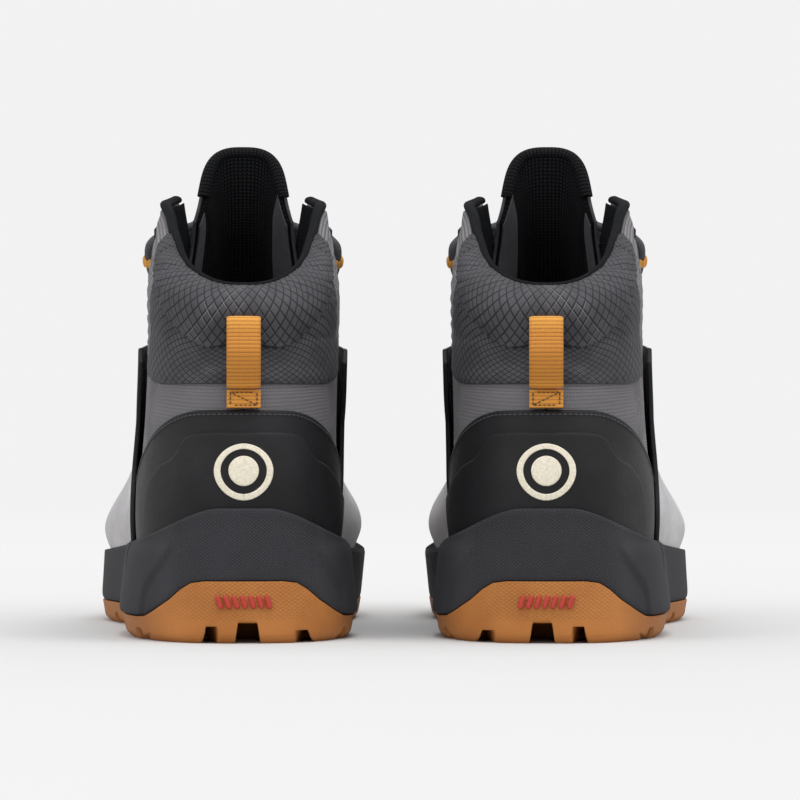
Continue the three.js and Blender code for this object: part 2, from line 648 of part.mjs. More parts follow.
// ---------------------------------------------------------------- lace keepers, hooks and lace
const KEEPER_SEAT = WING_GAP + OVERLAY + 0.9; // underside of the keepers' band
const KEEPER_INNER = LACE_DIAMETER / 2 + KEEPER_CLEARANCE;
const KEEPER_LIFT = 0.7; // of the lace over the band, past the round clearance
const KEEPER_FOOT = KEEPER_SEAT + KEEPER_BAND + KEEPER_LIFT;
const LACE_OUT = KEEPER_FOOT + KEEPER_INNER; // the lace's middle, inside a keeper

// A frame on the upper: x across the boot, y out of it, z up it.
function seat(angle, level, out) {
  const { up, out: normal } = frameAt(angle, level);
  const across = normal.clone().cross(up).normalize();
  return new THREE.Matrix4().makeBasis(across, normal, up).setPosition(offUpper(angle, level, out));
}

// A bridge over the lace, open along the eyestay.
function bridge(angle, level, wall, length) {
  const inner = KEEPER_INNER;
  const outer = inner + wall;
  const low = -KEEPER_LIFT - 0.5;
  const arch = (half, top) => [
    [-half, low], [-half, inner], [-half * 0.6, top],
    [half * 0.6, top], [half, inner], [half, low],
  ];
  const outline = [...arch(outer, inner + outer), ...arch(inner * 1.04, 2 * inner).reverse()];
  const shape = new THREE.Shape(outline.map(([x, y]) => new THREE.Vector2(x, y)));
  const body = new THREE.ExtrudeGeometry(shape, { depth: length, bevelEnabled: false });
  return body.translate(0, 0, -length / 2).applyMatrix4(seat(angle, level, KEEPER_FOOT));
}

const keeperAngle = (level, side) => side * KEEPER_ROUND * quarterEdge(level);
const band = (side, spread, rows) => {
  const columns = [-spread, 0, spread].map((offset) => side * KEEPER_ROUND + offset);
  return panel(columns, rows, atRound, KEEPER_SEAT, KEEPER_SEAT + KEEPER_BAND);
};

function laceKeepers(side) {
  const rows = LACE_LEVELS.slice(0, -1);
  const strip = band(side, 0.046, eyestayLevels(rows[0] - 0.025, rows[rows.length - 1] + 0.02));
  return joined(strip, ...rows.map((level) => bridge(keeperAngle(level, side), level, KEEPER_WALL, KEEPER_LENGTH)));
}

function laceHook(side) {
  const level = LACE_LEVELS[LACE_LEVELS.length - 1];
  const plate = band(side, 0.052, [level - 0.028, level, level + 0.028]);
  return joined(plate, bridge(keeperAngle(level, side), level, KEEPER_WALL + 0.4, KEEPER_LENGTH - 1));
}

// The lace runs from the knot down one side and up the other, through every keeper.
const UNDER_STRAND = 2.4;
const OVER_STRAND = UNDER_STRAND + LACE_DIAMETER + 0.8;
const KNOT_LEVEL = 0.9;
const KNOT_OUT = 9;
const LEAD_LIFT = 0.3; // the pull of the strands lifts the lace a little off the band
const LEAD = KEEPER_LENGTH / 2 + LACE_DIAMETER / 2 + 2.5; // how far past a keeper's middle the lace runs straight
const throatSpan = onUpper(keeperAngle(0.5, 1), 0.5).distanceTo(onUpper(keeperAngle(0.75, 1), 0.75));
const LEAD_LEVEL = (LEAD * 0.25) / throatSpan;

function throughKeeper(row, side, direction) {
  const level = LACE_LEVELS[row];
  const angle = keeperAngle(level, side);
  const middle = offUpper(angle, level, LACE_OUT + LEAD_LIFT);
  const { up } = frameAt(angle, level);
  return [-1, 1].map((end) => middle.clone().addScaledVector(up, end * direction * LEAD));
}

// Level lines droop towards the toe between two keepers, so a strand climbs a little on its way.
const STRAND_RISE = 0.021;

// A strand over the tongue, from one side at a level to the other side at another.
function crossing(side, fromLevel, toLevel, middleOut) {
  return [0.09, 0.22, 0.4, 0.6, 0.78, 0.91].map((share) => {
    const reach = 1 - 2 * share;
    const level = mix(fromLevel, toLevel, share) + STRAND_RISE * (1 - reach * reach);
    const angle = mix(Math.PI, keeperAngle(level, 1), Math.abs(reach));
    const out = mix(middleOut, LACE_OUT + 2 * LEAD_LIFT, smoothstep(0.05, 0.95, Math.abs(reach)));
    return offUpper(side * Math.sign(reach || 1) * angle, level, out);
  });
}

function laceSide(start, middleOut) {
  const top = LACE_LEVELS.length - 1;
  const knot = offUpper(Math.PI, KNOT_LEVEL, KNOT_OUT);
  const topLevel = LACE_LEVELS[top] + LEAD_LEVEL;
  const lead = offUpper(
    start * mix(Math.PI, keeperAngle(topLevel, 1), 0.55),
    mix(KNOT_LEVEL, topLevel, 0.7),
    LACE_OUT + 2,
  );
  const route = [knot, lead];
  let side = start;
  for (let row = top; row > 0; row -= 1) {
    const [from, to] = [LACE_LEVELS[row] - LEAD_LEVEL, LACE_LEVELS[row - 1] + LEAD_LEVEL];
    route.push(...throughKeeper(row, side, -1), ...crossing(side, from, to, middleOut));
    side = -side;
  }
  route.push(...throughKeeper(0, side, -1));
  return { route, side };
}

// The bow: loops and ends in the knot's own frame, x across, y out, z up, in millimetres.
const BOW_LOOP = [
  [0, 0, 0], [7, 2, 1], [15, 4, -2], [22, 5, -9], [24, 5, -19],
  [19, 4.5, -25], [13, 4, -20], [7, 3, -9], [0, 1, -1],
];
const BOW_END = [[0, 0, 0], [3, 4, -8], [6, 7, -20], [8, 7.5, -34], [9, 7.5, -48], [9.5, 7.5, -60]];

function lace() {
  const first = laceSide(1, UNDER_STRAND);
  const second = laceSide(-1, OVER_STRAND);
  const foot = LACE_LEVELS[0] - LEAD_LEVEL - 0.012;
  const last = first.route[first.route.length - 1];
  const other = second.route[second.route.length - 1];
  const turn = [last, ...crossing(first.side, foot, foot, UNDER_STRAND), other];
  const frame = seat(Math.PI, KNOT_LEVEL, KNOT_OUT);
  const placed = (list, side) => list.map(([x, y, z]) => new THREE.Vector3(x * side, y, z).applyMatrix4(frame));
  const knot = new THREE.SphereGeometry(1, 10, 7).scale(6.5, 4, 4.2).applyMatrix4(frame);
  const parts = [knot, tube(second.route, LACE_DIAMETER / 2), tube(turn, LACE_DIAMETER / 2)];
  for (const side of [-1, 1]) {
    parts.push(tube(placed(BOW_LOOP, side), LACE_DIAMETER / 2));
    parts.push(tube(placed(BOW_END, side), LACE_DIAMETER / 2));
  }
  return joined(tube(first.route, LACE_DIAMETER / 2), ...parts);
}

// ---------------------------------------------------------------- pull tab, badge
const TAB_LEVEL = 0.49; // where the tab's stitched foot starts
const tabFootTop = () => onUpper(0, TAB_LEVEL).z + TAB_FOOT_HEIGHT;
const tabFace = () => onUpper(0, BACK_PANEL_LEVEL).y - PAD_BULGE - GAP;

function ribbon(shape) {
  const body = new THREE.ExtrudeGeometry(shape, { depth: TAB_WIDTH, bevelEnabled: false, curveSegments: 8 });
  return body.translate(0, 0, -TAB_WIDTH / 2).applyMatrix4(
    new THREE.Matrix4().makeBasis(new THREE.Vector3(0, 1, 0), new THREE.Vector3(0, 0, 1), new THREE.Vector3(1, 0, 0)),
  );
}

function pullTabFoot() {
  const top = tabFootTop() - 0.4;
  const bottom = top - TAB_FOOT_HEIGHT;
  const against = (z) => offUpper(0, TAB_LEVEL + (z / SCALE_Z - 88) / 92, OVER).y;
  const shape = new THREE.Shape();
  shape.moveTo(against(bottom), bottom);
  shape.lineTo(against(top), top);
  shape.lineTo(against(top) - 2 * TAB_THICKNESS, top);
  shape.lineTo(against(bottom) - 2 * TAB_THICKNESS, bottom);
  shape.closePath();
  return ribbon(shape);
}

function pullTab() {
  const foot = tabFootTop();
  const top = foot + TAB_LOOP_HEIGHT;
  const face = tabFace();
  const wall = TAB_THICKNESS;
  const middle = foot + TAB_LOOP_HEIGHT * 0.5;
  const room = TAB_LOOP_GAP;
  const outline = (grow) => [
    [face - wall + grow, foot + wall - grow],
    [face - wall + grow, top - wall + grow],
    [face - wall - room * 0.55 - grow, top - wall + grow],
    [face - wall - room - grow, middle],
    [face - wall - 1.5 - grow, foot + wall - grow],
  ].map(([y, z]) => new THREE.Vector2(y, z));
  const shape = new THREE.Shape(outline(wall));
  shape.holes.push(new THREE.Path(outline(0)));
  return ribbon(shape);
}

const BADGE_LEVEL = 0.26;
function heelBadge() {
  const disc = new THREE.CylinderGeometry(BADGE_RADIUS, BADGE_RADIUS, BADGE_THICKNESS, 20);
  const middle = onUpper(0, BADGE_LEVEL);
  const perAngle = onUpper(0.1, BADGE_LEVEL).x - onUpper(-0.1, BADGE_LEVEL).x;
  const perLevel = onUpper(0, BADGE_LEVEL + 0.05).z - onUpper(0, BADGE_LEVEL - 0.05).z;
  const spots = disc.attributes.position;
  for (let i = 0; i < spots.count; i += 1) {
    const angle = (spots.getX(i) * 0.2) / perAngle;
    const level = BADGE_LEVEL + (spots.getZ(i) * 0.1) / perLevel;
    const out = OVER + OVERLAY + GAP + BADGE_THICKNESS / 2 - spots.getY(i);
    spots.setXYZ(i, ...offUpper(angle, level, out));
  }
  return disc;
}

// ---------------------------------------------------------------- materials and the group
const finish = (color, roughness, metalness = 0) => new THREE.MeshStandardMaterial({ color, roughness, metalness });
const GUM_RUBBER = finish(0xc3824b, 0.6);
const RED_RUBBER = finish(0xb84434, 0.5);
const FOAM = finish(0x44434a, 0.75);
const NYLON = finish(0x303236, 0.4);
const BOARD = finish(0xb9a88a, 0.9);
const WOVEN = finish(0x6c6a6e, 0.9);
const RIPSTOP = finish(0x55555a, 0.85);
const KNIT = finish(0x1c1d20, 0.95);
const SYNTHETIC = finish(0x9c989c, 0.6);
const BLACK_FILM = finish(0x2d2d30, 0.55);
const WEBBING = finish(0xd29240, 0.85);
const CREAM = finish(0xdbd3bf, 0.5);
const LACE_CORD = finish(0x3a3b40, 0.85);

const PIECES = [
  ["outsole", outsole(), GUM_RUBBER],
  ["outsole_mark", outsoleMark(), RED_RUBBER],
  ["midsole", midsole(), FOAM],
  ["shank", shank(), NYLON],
  ["lasting_board", lastingBoard(), BOARD],
  ["footbed", footbed(), KNIT],
  ["heel_stiffener", heelStiffener(), NYLON],
  ["toe_stiffener", toeStiffener(), NYLON],
  ["quarter_outer", quarter(1), WOVEN],
  ["quarter_inner", quarter(-1), WOVEN],
  ["vamp", vamp(), WOVEN],
  ["toe_cap", toeCap(), BLACK_FILM],
  ["side_wing_outer", sideWing(1), SYNTHETIC],
  ["side_wing_inner", sideWing(-1), SYNTHETIC],
  ["heel_cup", heelCup(), BLACK_FILM],
  ["heel_badge", heelBadge(), CREAM],
  ["ankle_pad", anklePad(), RIPSTOP],
  ["collar_pad", collarPad(), RIPSTOP],
  ["collar_lining", collarLining(), KNIT],
  ["vamp_lining", vampLining(), KNIT],
  ["tongue", tongue(), WOVEN],
  ["eyestay_outer", eyestay(1), BLACK_FILM],
  ["eyestay_inner", eyestay(-1), BLACK_FILM],
  ["lace_keepers_outer", laceKeepers(1), WEBBING],
  ["lace_keepers_inner", laceKeepers(-1), WEBBING],
  ["lace_hook_outer", laceHook(1), WEBBING],
  ["lace_hook_inner", laceHook(-1), WEBBING],
  ["lace", lace(), LACE_CORD],
  ["pull_tab_foot", pullTabFoot(), WEBBING],
  ["pull_tab", pullTab(), WEBBING],
];

// Each boot turns outwards about the middle of its sole.
function boot(suffix, mirror) {
  const group = new THREE.Group();
  for (const [name, geometry, material] of PIECES) {
    const mesh = new THREE.Mesh(geometry, material);
    mesh.name = `${name}_${suffix}`;
    mesh.position.y = -SOLE_LENGTH / 2;
    group.add(mesh);
  }
  const turn = THREE.MathUtils.degToRad(TOE_OUT);
  const reach = (SOLE_LENGTH / 2) * Math.sin(turn);
  group.rotation.z = -turn * mirror;
  group.scale.x = mirror;
  group.position.x = mirror * (HEEL_SPACING / 2 + reach);
  return group;
}

const boots = new THREE.Group();
boots.add(boot("right", 1), boot("left", -1));
const box = new THREE.Box3().setFromObject(boots, true);
boots.position.y = -(box.min.y + box.max.y) / 2;

export default boots;
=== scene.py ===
import bpy
import numpy as np
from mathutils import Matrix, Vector


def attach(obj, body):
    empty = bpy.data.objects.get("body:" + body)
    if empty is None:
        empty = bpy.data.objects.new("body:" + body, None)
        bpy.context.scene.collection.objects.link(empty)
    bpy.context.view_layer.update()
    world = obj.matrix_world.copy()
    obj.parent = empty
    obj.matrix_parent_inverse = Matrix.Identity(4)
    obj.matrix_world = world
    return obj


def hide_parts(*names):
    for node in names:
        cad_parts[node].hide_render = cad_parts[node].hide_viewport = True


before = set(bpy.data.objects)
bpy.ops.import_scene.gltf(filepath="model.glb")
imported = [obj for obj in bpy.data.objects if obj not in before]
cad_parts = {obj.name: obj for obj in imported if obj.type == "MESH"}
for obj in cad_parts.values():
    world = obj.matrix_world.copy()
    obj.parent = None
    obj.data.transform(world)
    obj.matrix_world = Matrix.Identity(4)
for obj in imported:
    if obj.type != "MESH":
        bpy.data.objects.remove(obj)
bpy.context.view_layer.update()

# ---------------------------------------------------------------- the studio
# A pale floor that runs far back, a pale room, two large soft lamps overhead and one behind the viewer,
# and a camera low behind the heels, as a shoe shop takes a pair from the back.
ROOM_WHITE = (0.888, 0.888, 0.888, 1)
CAMERA_BACK = 1.1  # metres behind the heels
CAMERA_HEIGHT = 0.0635
PIXELS_PER_MM = 2.7  # at the heels
HEEL_PLANE = -0.1505

scene = bpy.context.scene
scene.view_settings.view_transform = "Standard"
world = bpy.data.worlds.new("room")
world.use_nodes = True
world.node_tree.nodes["Background"].inputs["Color"].default_value = ROOM_WHITE
world.node_tree.nodes["Background"].inputs["Strength"].default_value = 1.0
scene.world = world

lens = bpy.data.cameras.new("camera")
camera = bpy.data.objects.new("camera", lens)
scene.collection.objects.link(camera)
camera.location = (0, HEEL_PLANE - CAMERA_BACK, CAMERA_HEIGHT)
camera.rotation_euler = (np.pi / 2, 0, 0)
lens.sensor_width = 36
lens.lens = 36 * PIXELS_PER_MM * CAMERA_BACK * 1000 / 800
lens.shift_x = 5 / 800
lens.shift_y = 73 / 800
lens.clip_start = 0.05
lens.clip_end = 60
scene.camera = camera


def lamp(name, place, aim, size, watts):
    """A square soft lamp at a place, turned to aim at a point."""
    light = bpy.data.lights.new(name, "AREA")
    light.size = size
    light.energy = watts
    holder = bpy.data.objects.new(name, light)
    holder.location = place
    holder.rotation_euler = (Vector(aim) - Vector(place)).to_track_quat("-Z", "Y").to_euler()
    scene.collection.objects.link(holder)


lamp("lamp_above", (0.15, -0.35, 1.5), (0, -0.02, 0.05), 0.9, 13)
lamp("lamp_left", (-1.1, -1.0, 0.9), (0, -0.1, 0.08), 0.7, 5)
lamp("lamp_right", (1.2, -0.7, 0.9), (0, -0.1, 0.08), 0.7, 3.5)


class Socket:
    """A number, colour or vector that changes over a surface, so that shader maths reads as sums."""

    def __init__(self, finish, socket):
        self.finish, self.socket = finish, socket

    def maths(self, operation, *values):
        return self.finish.node("ShaderNodeMath", {"operation": operation}, dict(enumerate(values)))

    def __add__(self, other):
        return self.maths("ADD", self, other)

    def __sub__(self, other):
        return self.maths("SUBTRACT", self, other)

    def __rsub__(self, other):
        return self.maths("SUBTRACT", other, self)

    def __mul__(self, other):
        return self.maths("MULTIPLY", self, other)

    def __truediv__(self, other):
        return self.maths("DIVIDE", self, other)

    def __rtruediv__(self, other):
        return self.maths("DIVIDE", other, self)

    def __pow__(self, other):
        return self.maths("POWER", self, other)

    def __mod__(self, other):
        return self.maths("FLOORED_MODULO", self, other)

    __radd__, __rmul__ = __add__, __mul__

    def sine(self):
        return self.maths("SINE", self)

    def size(self):
        return self.maths("ABSOLUTE", self)

    def at_least(self, other):
        return self.maths("MAXIMUM", self, other)

    def at_most(self, other):
        return self.maths("MINIMUM", self, other)


class Finish:
    """A material's nodes. node() adds one: its settings first, then the values or links of its sockets."""

    def __init__(self, name, **shader):
        self.material = bpy.data.materials.new(name)
        self.material.use_nodes = True
        self.nodes = self.material.node_tree.nodes
        self.shader = self.nodes["Principled BSDF"]
        self.set(**shader)

    def node(self, kind, settings=None, values=None, output=None):
        made = self.nodes.new(kind)
        for key, value in (settings or {}).items():
            if key == "stops":
                while len(made.color_ramp.elements) < len(value):
                    made.color_ramp.elements.new(0.5)
                for stop, (place, colour) in zip(made.color_ramp.elements, value):
                    stop.position, stop.color = place, colour
            else:
                setattr(made, key, value)
        for key, value in (values or {}).items():
            self.feed(self.find(made.inputs, key), value)
        outputs = [s for s in made.outputs if s.enabled]
        return Socket(self, next((s for s in outputs if s.name == output), outputs[0]))

    def find(self, sockets, key):
        return sockets[key] if isinstance(key, int) else next(s for s in sockets if s.enabled and s.name == key)

    def feed(self, socket, value):
        if isinstance(value, Socket):
            self.material.node_tree.links.new(value.socket, socket)
        else:
            socket.default_value = value

    def set(self, **shader):
        for key, value in shader.items():
            self.feed(self.find(self.shader.inputs, key.replace("_", " ").title().replace("Ior", "IOR")), value)

    def place(self, kind="Object"):
        """Where a spot is, in millimetres, as three sockets: on the object, or on the piece's own cloth."""
        here = self.node("ShaderNodeTexCoord", {}, {}, kind)
        scaled = self.node("ShaderNodeVectorMath", {"operation": "SCALE"}, {0: here, "Scale": 1000.0})
        split = self.node("ShaderNodeSeparateXYZ", {}, {0: scaled})
        axes = [Socket(self, split.socket.node.outputs[i]) for i in range(3)]
        return (*axes, scaled)

    def noise(self, place, scale, detail=2.0, roughness=0.5):
        values = {"Vector": place, "Scale": scale, "Detail": detail, "Roughness": roughness}
        return self.node("ShaderNodeTexNoise", {}, values, "Fac")

    def blend(self, share, low, high):
        """A colour between two, by a share."""
        return self.node("ShaderNodeMix", {"data_type": "RGBA"}, {"Factor": share, "A": low, "B": high})

    def step(self, value, low, high):
        """0 below low, 1 above high, and smooth between them."""
        values = {"Value": value, "From Min": low, "From Max": high}
        return self.node("ShaderNodeMapRange", {"interpolation_type": "SMOOTHSTEP"}, values)

    def raised(self, height, strength=1.0):
        """Gives the surface small relief, its height in millimetres."""
        values = {"Height": height, "Distance": 0.001, "Strength": strength}
        self.set(normal=self.node("ShaderNodeBump", {}, values))


def tint(red, green, blue):
    """A dye or pigment from its three shares of 255, as light."""
    share = np.array([red, green, blue]) / 255
    return (*np.where(share > 0.04045, ((share + 0.055) / 1.055) ** 2.4, share / 12.92).tolist(), 1)


def floor_finish():
    """Pale paper whose tone answers the lamps' falloff, so that it meets the room without a line."""
    paper = Finish("floor_paper", roughness=0.9, specular_ior_level=0.0)
    x, y, _, place = paper.place()
    away = ((x - 100.0) ** 2.0 + (y + 350.0) ** 2.0) * (1 / 2.4e6) + 1.0
    tone = 0.887 / (0.888 + 0.68 / away ** 2.0)
    grain = paper.noise(place, 0.02, 3.0)
    paper.set(base_color=paper.blend(tone - grain * 0.01, (0, 0, 0, 1), (1, 1, 1, 1)))
    return paper.material


def show(name, points, faces, finish, uv=None):
    """A mesh object at the origin, from points in metres and arrays of faces. uv is each point's place on
    the cloth."""
    mesh = bpy.data.meshes.new(name)
    sizes = np.concatenate([np.full(len(f), f.shape[1]) for f in faces])
    corners = np.concatenate([f.ravel() for f in faces]).astype(np.int32)
    mesh.vertices.add(len(points))
    mesh.vertices.foreach_set("co", points.astype(np.float32).ravel())
    mesh.loops.add(len(corners))
    mesh.loops.foreach_set("vertex_index", corners)
    mesh.polygons.add(len(sizes))
    mesh.polygons.foreach_set("loop_start", np.concatenate([[0], np.cumsum(sizes)[:-1]]).astype(np.int32))
    mesh.update(calc_edges=True)
    if uv is not None:
        layer = mesh.uv_layers.new(name="cloth")
        layer.data.foreach_set("uv", uv[corners].astype(np.float32).ravel())
    mesh.polygons.foreach_set("use_smooth", np.ones(len(sizes), bool))
    mesh.materials.append(finish)
    piece = bpy.data.objects.new(name, mesh)
    scene.collection.objects.link(piece)
    return piece


floor_corners = np.array([[-9, -6, 0], [9, -6, 0], [9, 24, 0], [-9, 24, 0]], float)
show("floor", floor_corners, [np.array([[0, 1, 2, 3]])], floor_finish())

# ---------------------------------------------------------------- the woven side panels
# Two panels of ribbed grey polyester weave, joined by a seam down the back of the heel. They are pulled
# down over the last, so every other layer of the boot follows their shape.
SOLE_LENGTH = 300
BALL_WIDTH = 110
BOOT_HEIGHT = 197
HEEL_SPACING = 112.4
TOE_OUT = np.radians(3)
BOOTS_FORWARD = 2.32  # centres the pair's length on the origin

# Closed level lines round the boot, from the feather edge, level 0, to the crest of the collar, level 1.
# back and front are (y, z) in millimetres; half, centre and sag are at the stations, shares of the length;
# square is how square the heel and the toe are.
STATIONS = (0, 0.13, 0.42, 0.64, 0.82, 1)
LEVELS = (0, 0.12, 0.26, 0.5, 0.75, 0.88, 0.95, 1)
BACK_Y = (8, 3.5, 2.5, 7, 13, 9.5, 12, 19)
BACK_Z = (31, 47, 64, 89, 112, 124, 131, 135)
FRONT_Y = (290, 291, 278, 212, 152, 131, 124, 118)
FRONT_Z = (33, 49, 63, 87, 131, 163, 180, 197.5)
HEEL_SQUARE = (3, 3, 2.9, 2.7, 2.6, 2.6, 2.6, 2.6)
TOE_SQUARE = (2.6, 2.7, 2.6, 2.8, 2.8, 2.8, 2.8, 2.8)
HALF_WIDTH = (
    (40, 43, 36, 51, 52, 46), (40, 43.5, 37, 53, 54, 47), (39, 42.5, 38, 43, 41, 36),
    (36, 39.5, 37.5, 34, 31, 26), (35, 38, 37.5, 35, 32, 27), (35, 38, 37, 36, 35, 31),
    (31, 34, 34, 34.5, 34.5, 31), (24, 26, 28, 32, 33.5, 31),
)
CENTRE = (
    (0, 1, 5, 4, -1, -9), (0, 1, 5, 4, -1, -9), (0, 1, 3, 3, -2, -8), (0, 0.5, 1, 1, 0, -3), *((0,) * 6,) * 4,
)
SAG = ((0, 0.5, 3.5, 8, 7, 0), (0, 0, 3, 7, 5.5, 0), (0, 0, 2, 2, 1, 0), *((0,) * 6,) * 5)


def mix(low, high, share):
    return low + (high - low) * share


def smoothstep(low, high, value):
    """0 below low, 1 above high, and 3t squared minus 2t cubed between them."""
    t = np.clip((np.asarray(value, float) - low) / (high - low), 0, 1)
    return t * t * (3 - 2 * t)


def through(knots, values, t):
    """The smooth curve through values at knots, by cubic Hermite pieces whose slopes are those between each
    knot's neighbours, and straight beyond the ends. values has one entry, or one array like t, per knot."""
    knots, t, values = np.asarray(knots, float), np.asarray(t, float), np.asarray(values, float)
    if values.ndim == 1:
        values = values.reshape(-1, *[1] * t.ndim)
    values = np.broadcast_to(values, (len(knots), *t.shape))
    spans = np.diff(knots).reshape(-1, *[1] * t.ndim)
    rises = np.diff(values, axis=0)
    middle = (rises[1:] + rises[:-1]) / (spans[1:] + spans[:-1])
    slopes = np.concatenate([rises[:1] / spans[:1], middle, rises[-1:] / spans[-1:]])
    i = np.clip(np.searchsorted(knots, t, side="right") - 1, 0, len(knots) - 2)
    width = knots[i + 1] - knots[i]
    low, high, start, end = [np.take_along_axis(a, j[None], 0)[0] for a in (values, slopes) for j in (i, i + 1)]
    u = (t - knots[i]) / width
    c = np.clip(u, 0, 1)
    low, high, start, end = low, high, start * width, end * width
    curve = (2 * c**3 - 3 * c**2 + 1) * low + (3 * c**2 - 2 * c**3) * high
    curve = curve + (c**3 - 2 * c**2 + c) * start + (c**3 - c**2) * end
    return curve + (u - c) * (high - low)


def at_level(values, level):
    return through(LEVELS, values, level)


def at_station(table, share, level):
    return through(STATIONS, np.stack([at_level(column, level) for column in zip(*table)]), share)


def rounded_square(angle, level):
    """A superellipse's point at an angle: how far across, and the share of the way from back to front."""
    power = mix(at_level(HEEL_SQUARE, level), at_level(TOE_SQUARE, level), (1 - np.cos(angle)) / 2)
    across, back = np.abs(np.sin(angle)), np.abs(np.cos(angle))
    radius = (across**power + back**power) ** (-1 / power)
    return across * radius, (1 - np.cos(angle) * radius) / 2


def half_width(angle, level):
    across, share = rounded_square(angle, level)
    return BALL_WIDTH / 110 * at_station(HALF_WIDTH, share, level) * across


def on_upper(angle, level):
    """The woven face at an angle, 0 at the heel and pi at the toe, positive on the outer side, and a level."""
    angle, level = np.broadcast_arrays(np.asarray(angle, float), np.asarray(level, float))
    across, share = rounded_square(angle, level)
    side = np.where(np.sin(angle) < 0, -1, 1)
    width = at_station(HALF_WIDTH, share, level) * across * side + at_station(CENTRE, share, level)
    height = mix(at_level(BACK_Z, level), at_level(FRONT_Z, level), share) - at_station(SAG, share, level)
    length = mix(at_level(BACK_Y, level), at_level(FRONT_Y, level), share)
    scale = (BALL_WIDTH / 110, SOLE_LENGTH / 300, BOOT_HEIGHT / 197)
    return np.stack([width, length, height], -1) * scale


def unit(vectors):
    return vectors / np.linalg.norm(vectors, axis=-1, keepdims=True)


def facing(angle, level):
    """The direction round the boot, the direction up it and the outward normal, by differences."""
    around = unit(on_upper(angle + 0.03, level) - on_upper(angle - 0.03, level))
    up = unit(on_upper(angle, level + 0.01) - on_upper(angle, level - 0.01))
    return around, up, unit(np.cross(around, up))


def off_upper(angle, level, out):
    """The point a distance out from the woven face, along its normal."""
    angle, level, out = np.broadcast_arrays(*[np.asarray(a, float) for a in (angle, level, out)])
    return on_upper(angle, level) + facing(angle, level)[2] * out[..., None]


THROAT_LEVEL = 0.46
THROAT_HALF = (12, 29)  # half the gap of the throat, at its foot and its top


def throat_half(level):
    return mix(*THROAT_HALF, np.clip((level - THROAT_LEVEL) / (1 - THROAT_LEVEL), 0, 1))


def angle_at_width(level, width):
    """The angle in the front half where the upper is this wide, by halving the range thirty times."""
    low, high = np.full_like(level, np.pi / 2), np.full_like(level, np.pi)
    for _ in range(30):
        middle = (low + high) / 2
        wide = half_width(middle, level) > width
        low, high = np.where(wide, middle, low), np.where(wide, high, middle)
    return low


EDGE_LEVELS = np.linspace(0, 1.03, 413)
throat_angles = angle_at_width(EDGE_LEVELS, throat_half(EDGE_LEVELS))
throat_foot = np.interp(THROAT_LEVEL, EDGE_LEVELS, throat_angles)
seam_angles = mix(1.75, throat_foot, np.clip(EDGE_LEVELS / THROAT_LEVEL, 0, 1) ** 1.5)
EDGE_ANGLES = np.where(EDGE_LEVELS >= THROAT_LEVEL, throat_angles, seam_angles)


def quarter_edge(level):
    """The angle of the side panels' front edge: the seam to the vamp, and the throat above it."""
    return np.interp(level, EDGE_LEVELS, EDGE_ANGLES)


def at_round(share, level):
    """The angle at a share of the way round from the heel to the front edge, and the level."""
    return share * quarter_edge(level), level


def eased(low, high, count, crowd=0.85):
    """Numbers from low to high that lie closer together towards both ends, so that edges can be rounded."""
    t = np.linspace(0, 1, count + 1)
    return mix(low, high, t - crowd * np.sin(2 * np.pi * t) / (2 * np.pi))


def sheet_faces(rows, columns, start=0):
    """Four-sided faces between the points of a grid, as an array."""
    at = start + np.arange(rows * columns).reshape(rows, columns)
    return np.stack([at[:-1, :-1], at[:-1, 1:], at[1:, 1:], at[1:, :-1]], -1).reshape(-1, 4)


def rim_of(rows, columns):
    """The indices of a grid's border, once round."""
    at = np.arange(rows * columns).reshape(rows, columns)
    return np.concatenate([at[0, :-1], at[:-1, -1], at[-1, :0:-1], at[:0:-1, 0]])


def slab(outer, inner, uv):
    """A closed piece between two grids of points: both faces, and a wall round their border."""
    rows, columns = outer.shape[:2]
    count = rows * columns
    border = rim_of(rows, columns)
    after = np.roll(border, -1)
    wall = np.stack([border + count, after + count, after, border], -1)
    faces = [sheet_faces(rows, columns), sheet_faces(rows, columns, count)[:, ::-1], wall]
    points = np.concatenate([outer.reshape(-1, 3), inner.reshape(-1, 3)])
    return points, faces, np.concatenate([uv.reshape(-1, 2)] * 2)


def steps_between(points, axis):
    """The length run so far along one way of a grid of points."""
    gaps = np.linalg.norm(np.diff(points, axis=axis), axis=-1)
    start = np.zeros_like(np.take(gaps, [0], axis))
    return np.concatenate([start, np.cumsum(gaps, axis)], axis)


def edge_distance(points):
    """How far each point of a grid is from the nearest border, and its place on the flat cloth, in metres."""
    across, along = steps_between(points, 1), steps_between(points, 0)
    near = np.minimum(np.minimum(across, across[:, -1:] - across), np.minimum(along, along[-1:] - along))
    flat_u = (across - across[:, -1:] / 2).mean(0) / 1000
    flat_v = along.mean(1) / 1000
    u, v = np.meshgrid(flat_u, flat_v)
    return near, np.stack([u, v], -1)


def as_field(value, *where):
    return value(*where) if callable(value) else np.full(where[0].shape, float(value))


def panel(columns, rows, place, inner, outer, roll=1.0, edge=0.25):
    """A closed panel that follows the upper. place gives the angle and level of a column and row; inner and
    outer are how far its faces lie out. Near its border its outer face falls as a quarter circle does."""
    column, row = np.meshgrid(columns, rows)
    angle, level = place(column, row)
    near, uv = edge_distance(on_upper(angle, level))
    low, high = as_field(inner, column, row), as_field(outer, column, row)
    fall = np.sqrt(1 - (1 - np.clip(near / roll, 0, 1)) ** 2)
    return slab(
        off_upper(angle, level, low + (high - low) * mix(edge, 1, fall)), off_upper(angle, level, low), uv
    )


def gathered(parts):
    """Several closed pieces as one mesh."""
    points, faces, uvs, start = [], [], [], 0
    for part_points, part_faces, uv in parts:
        points.append(part_points)
        uvs.append(uv)
        faces += [f + start for f in part_faces]
        start += len(part_points)
    return np.concatenate(points), faces, np.concatenate(uvs)


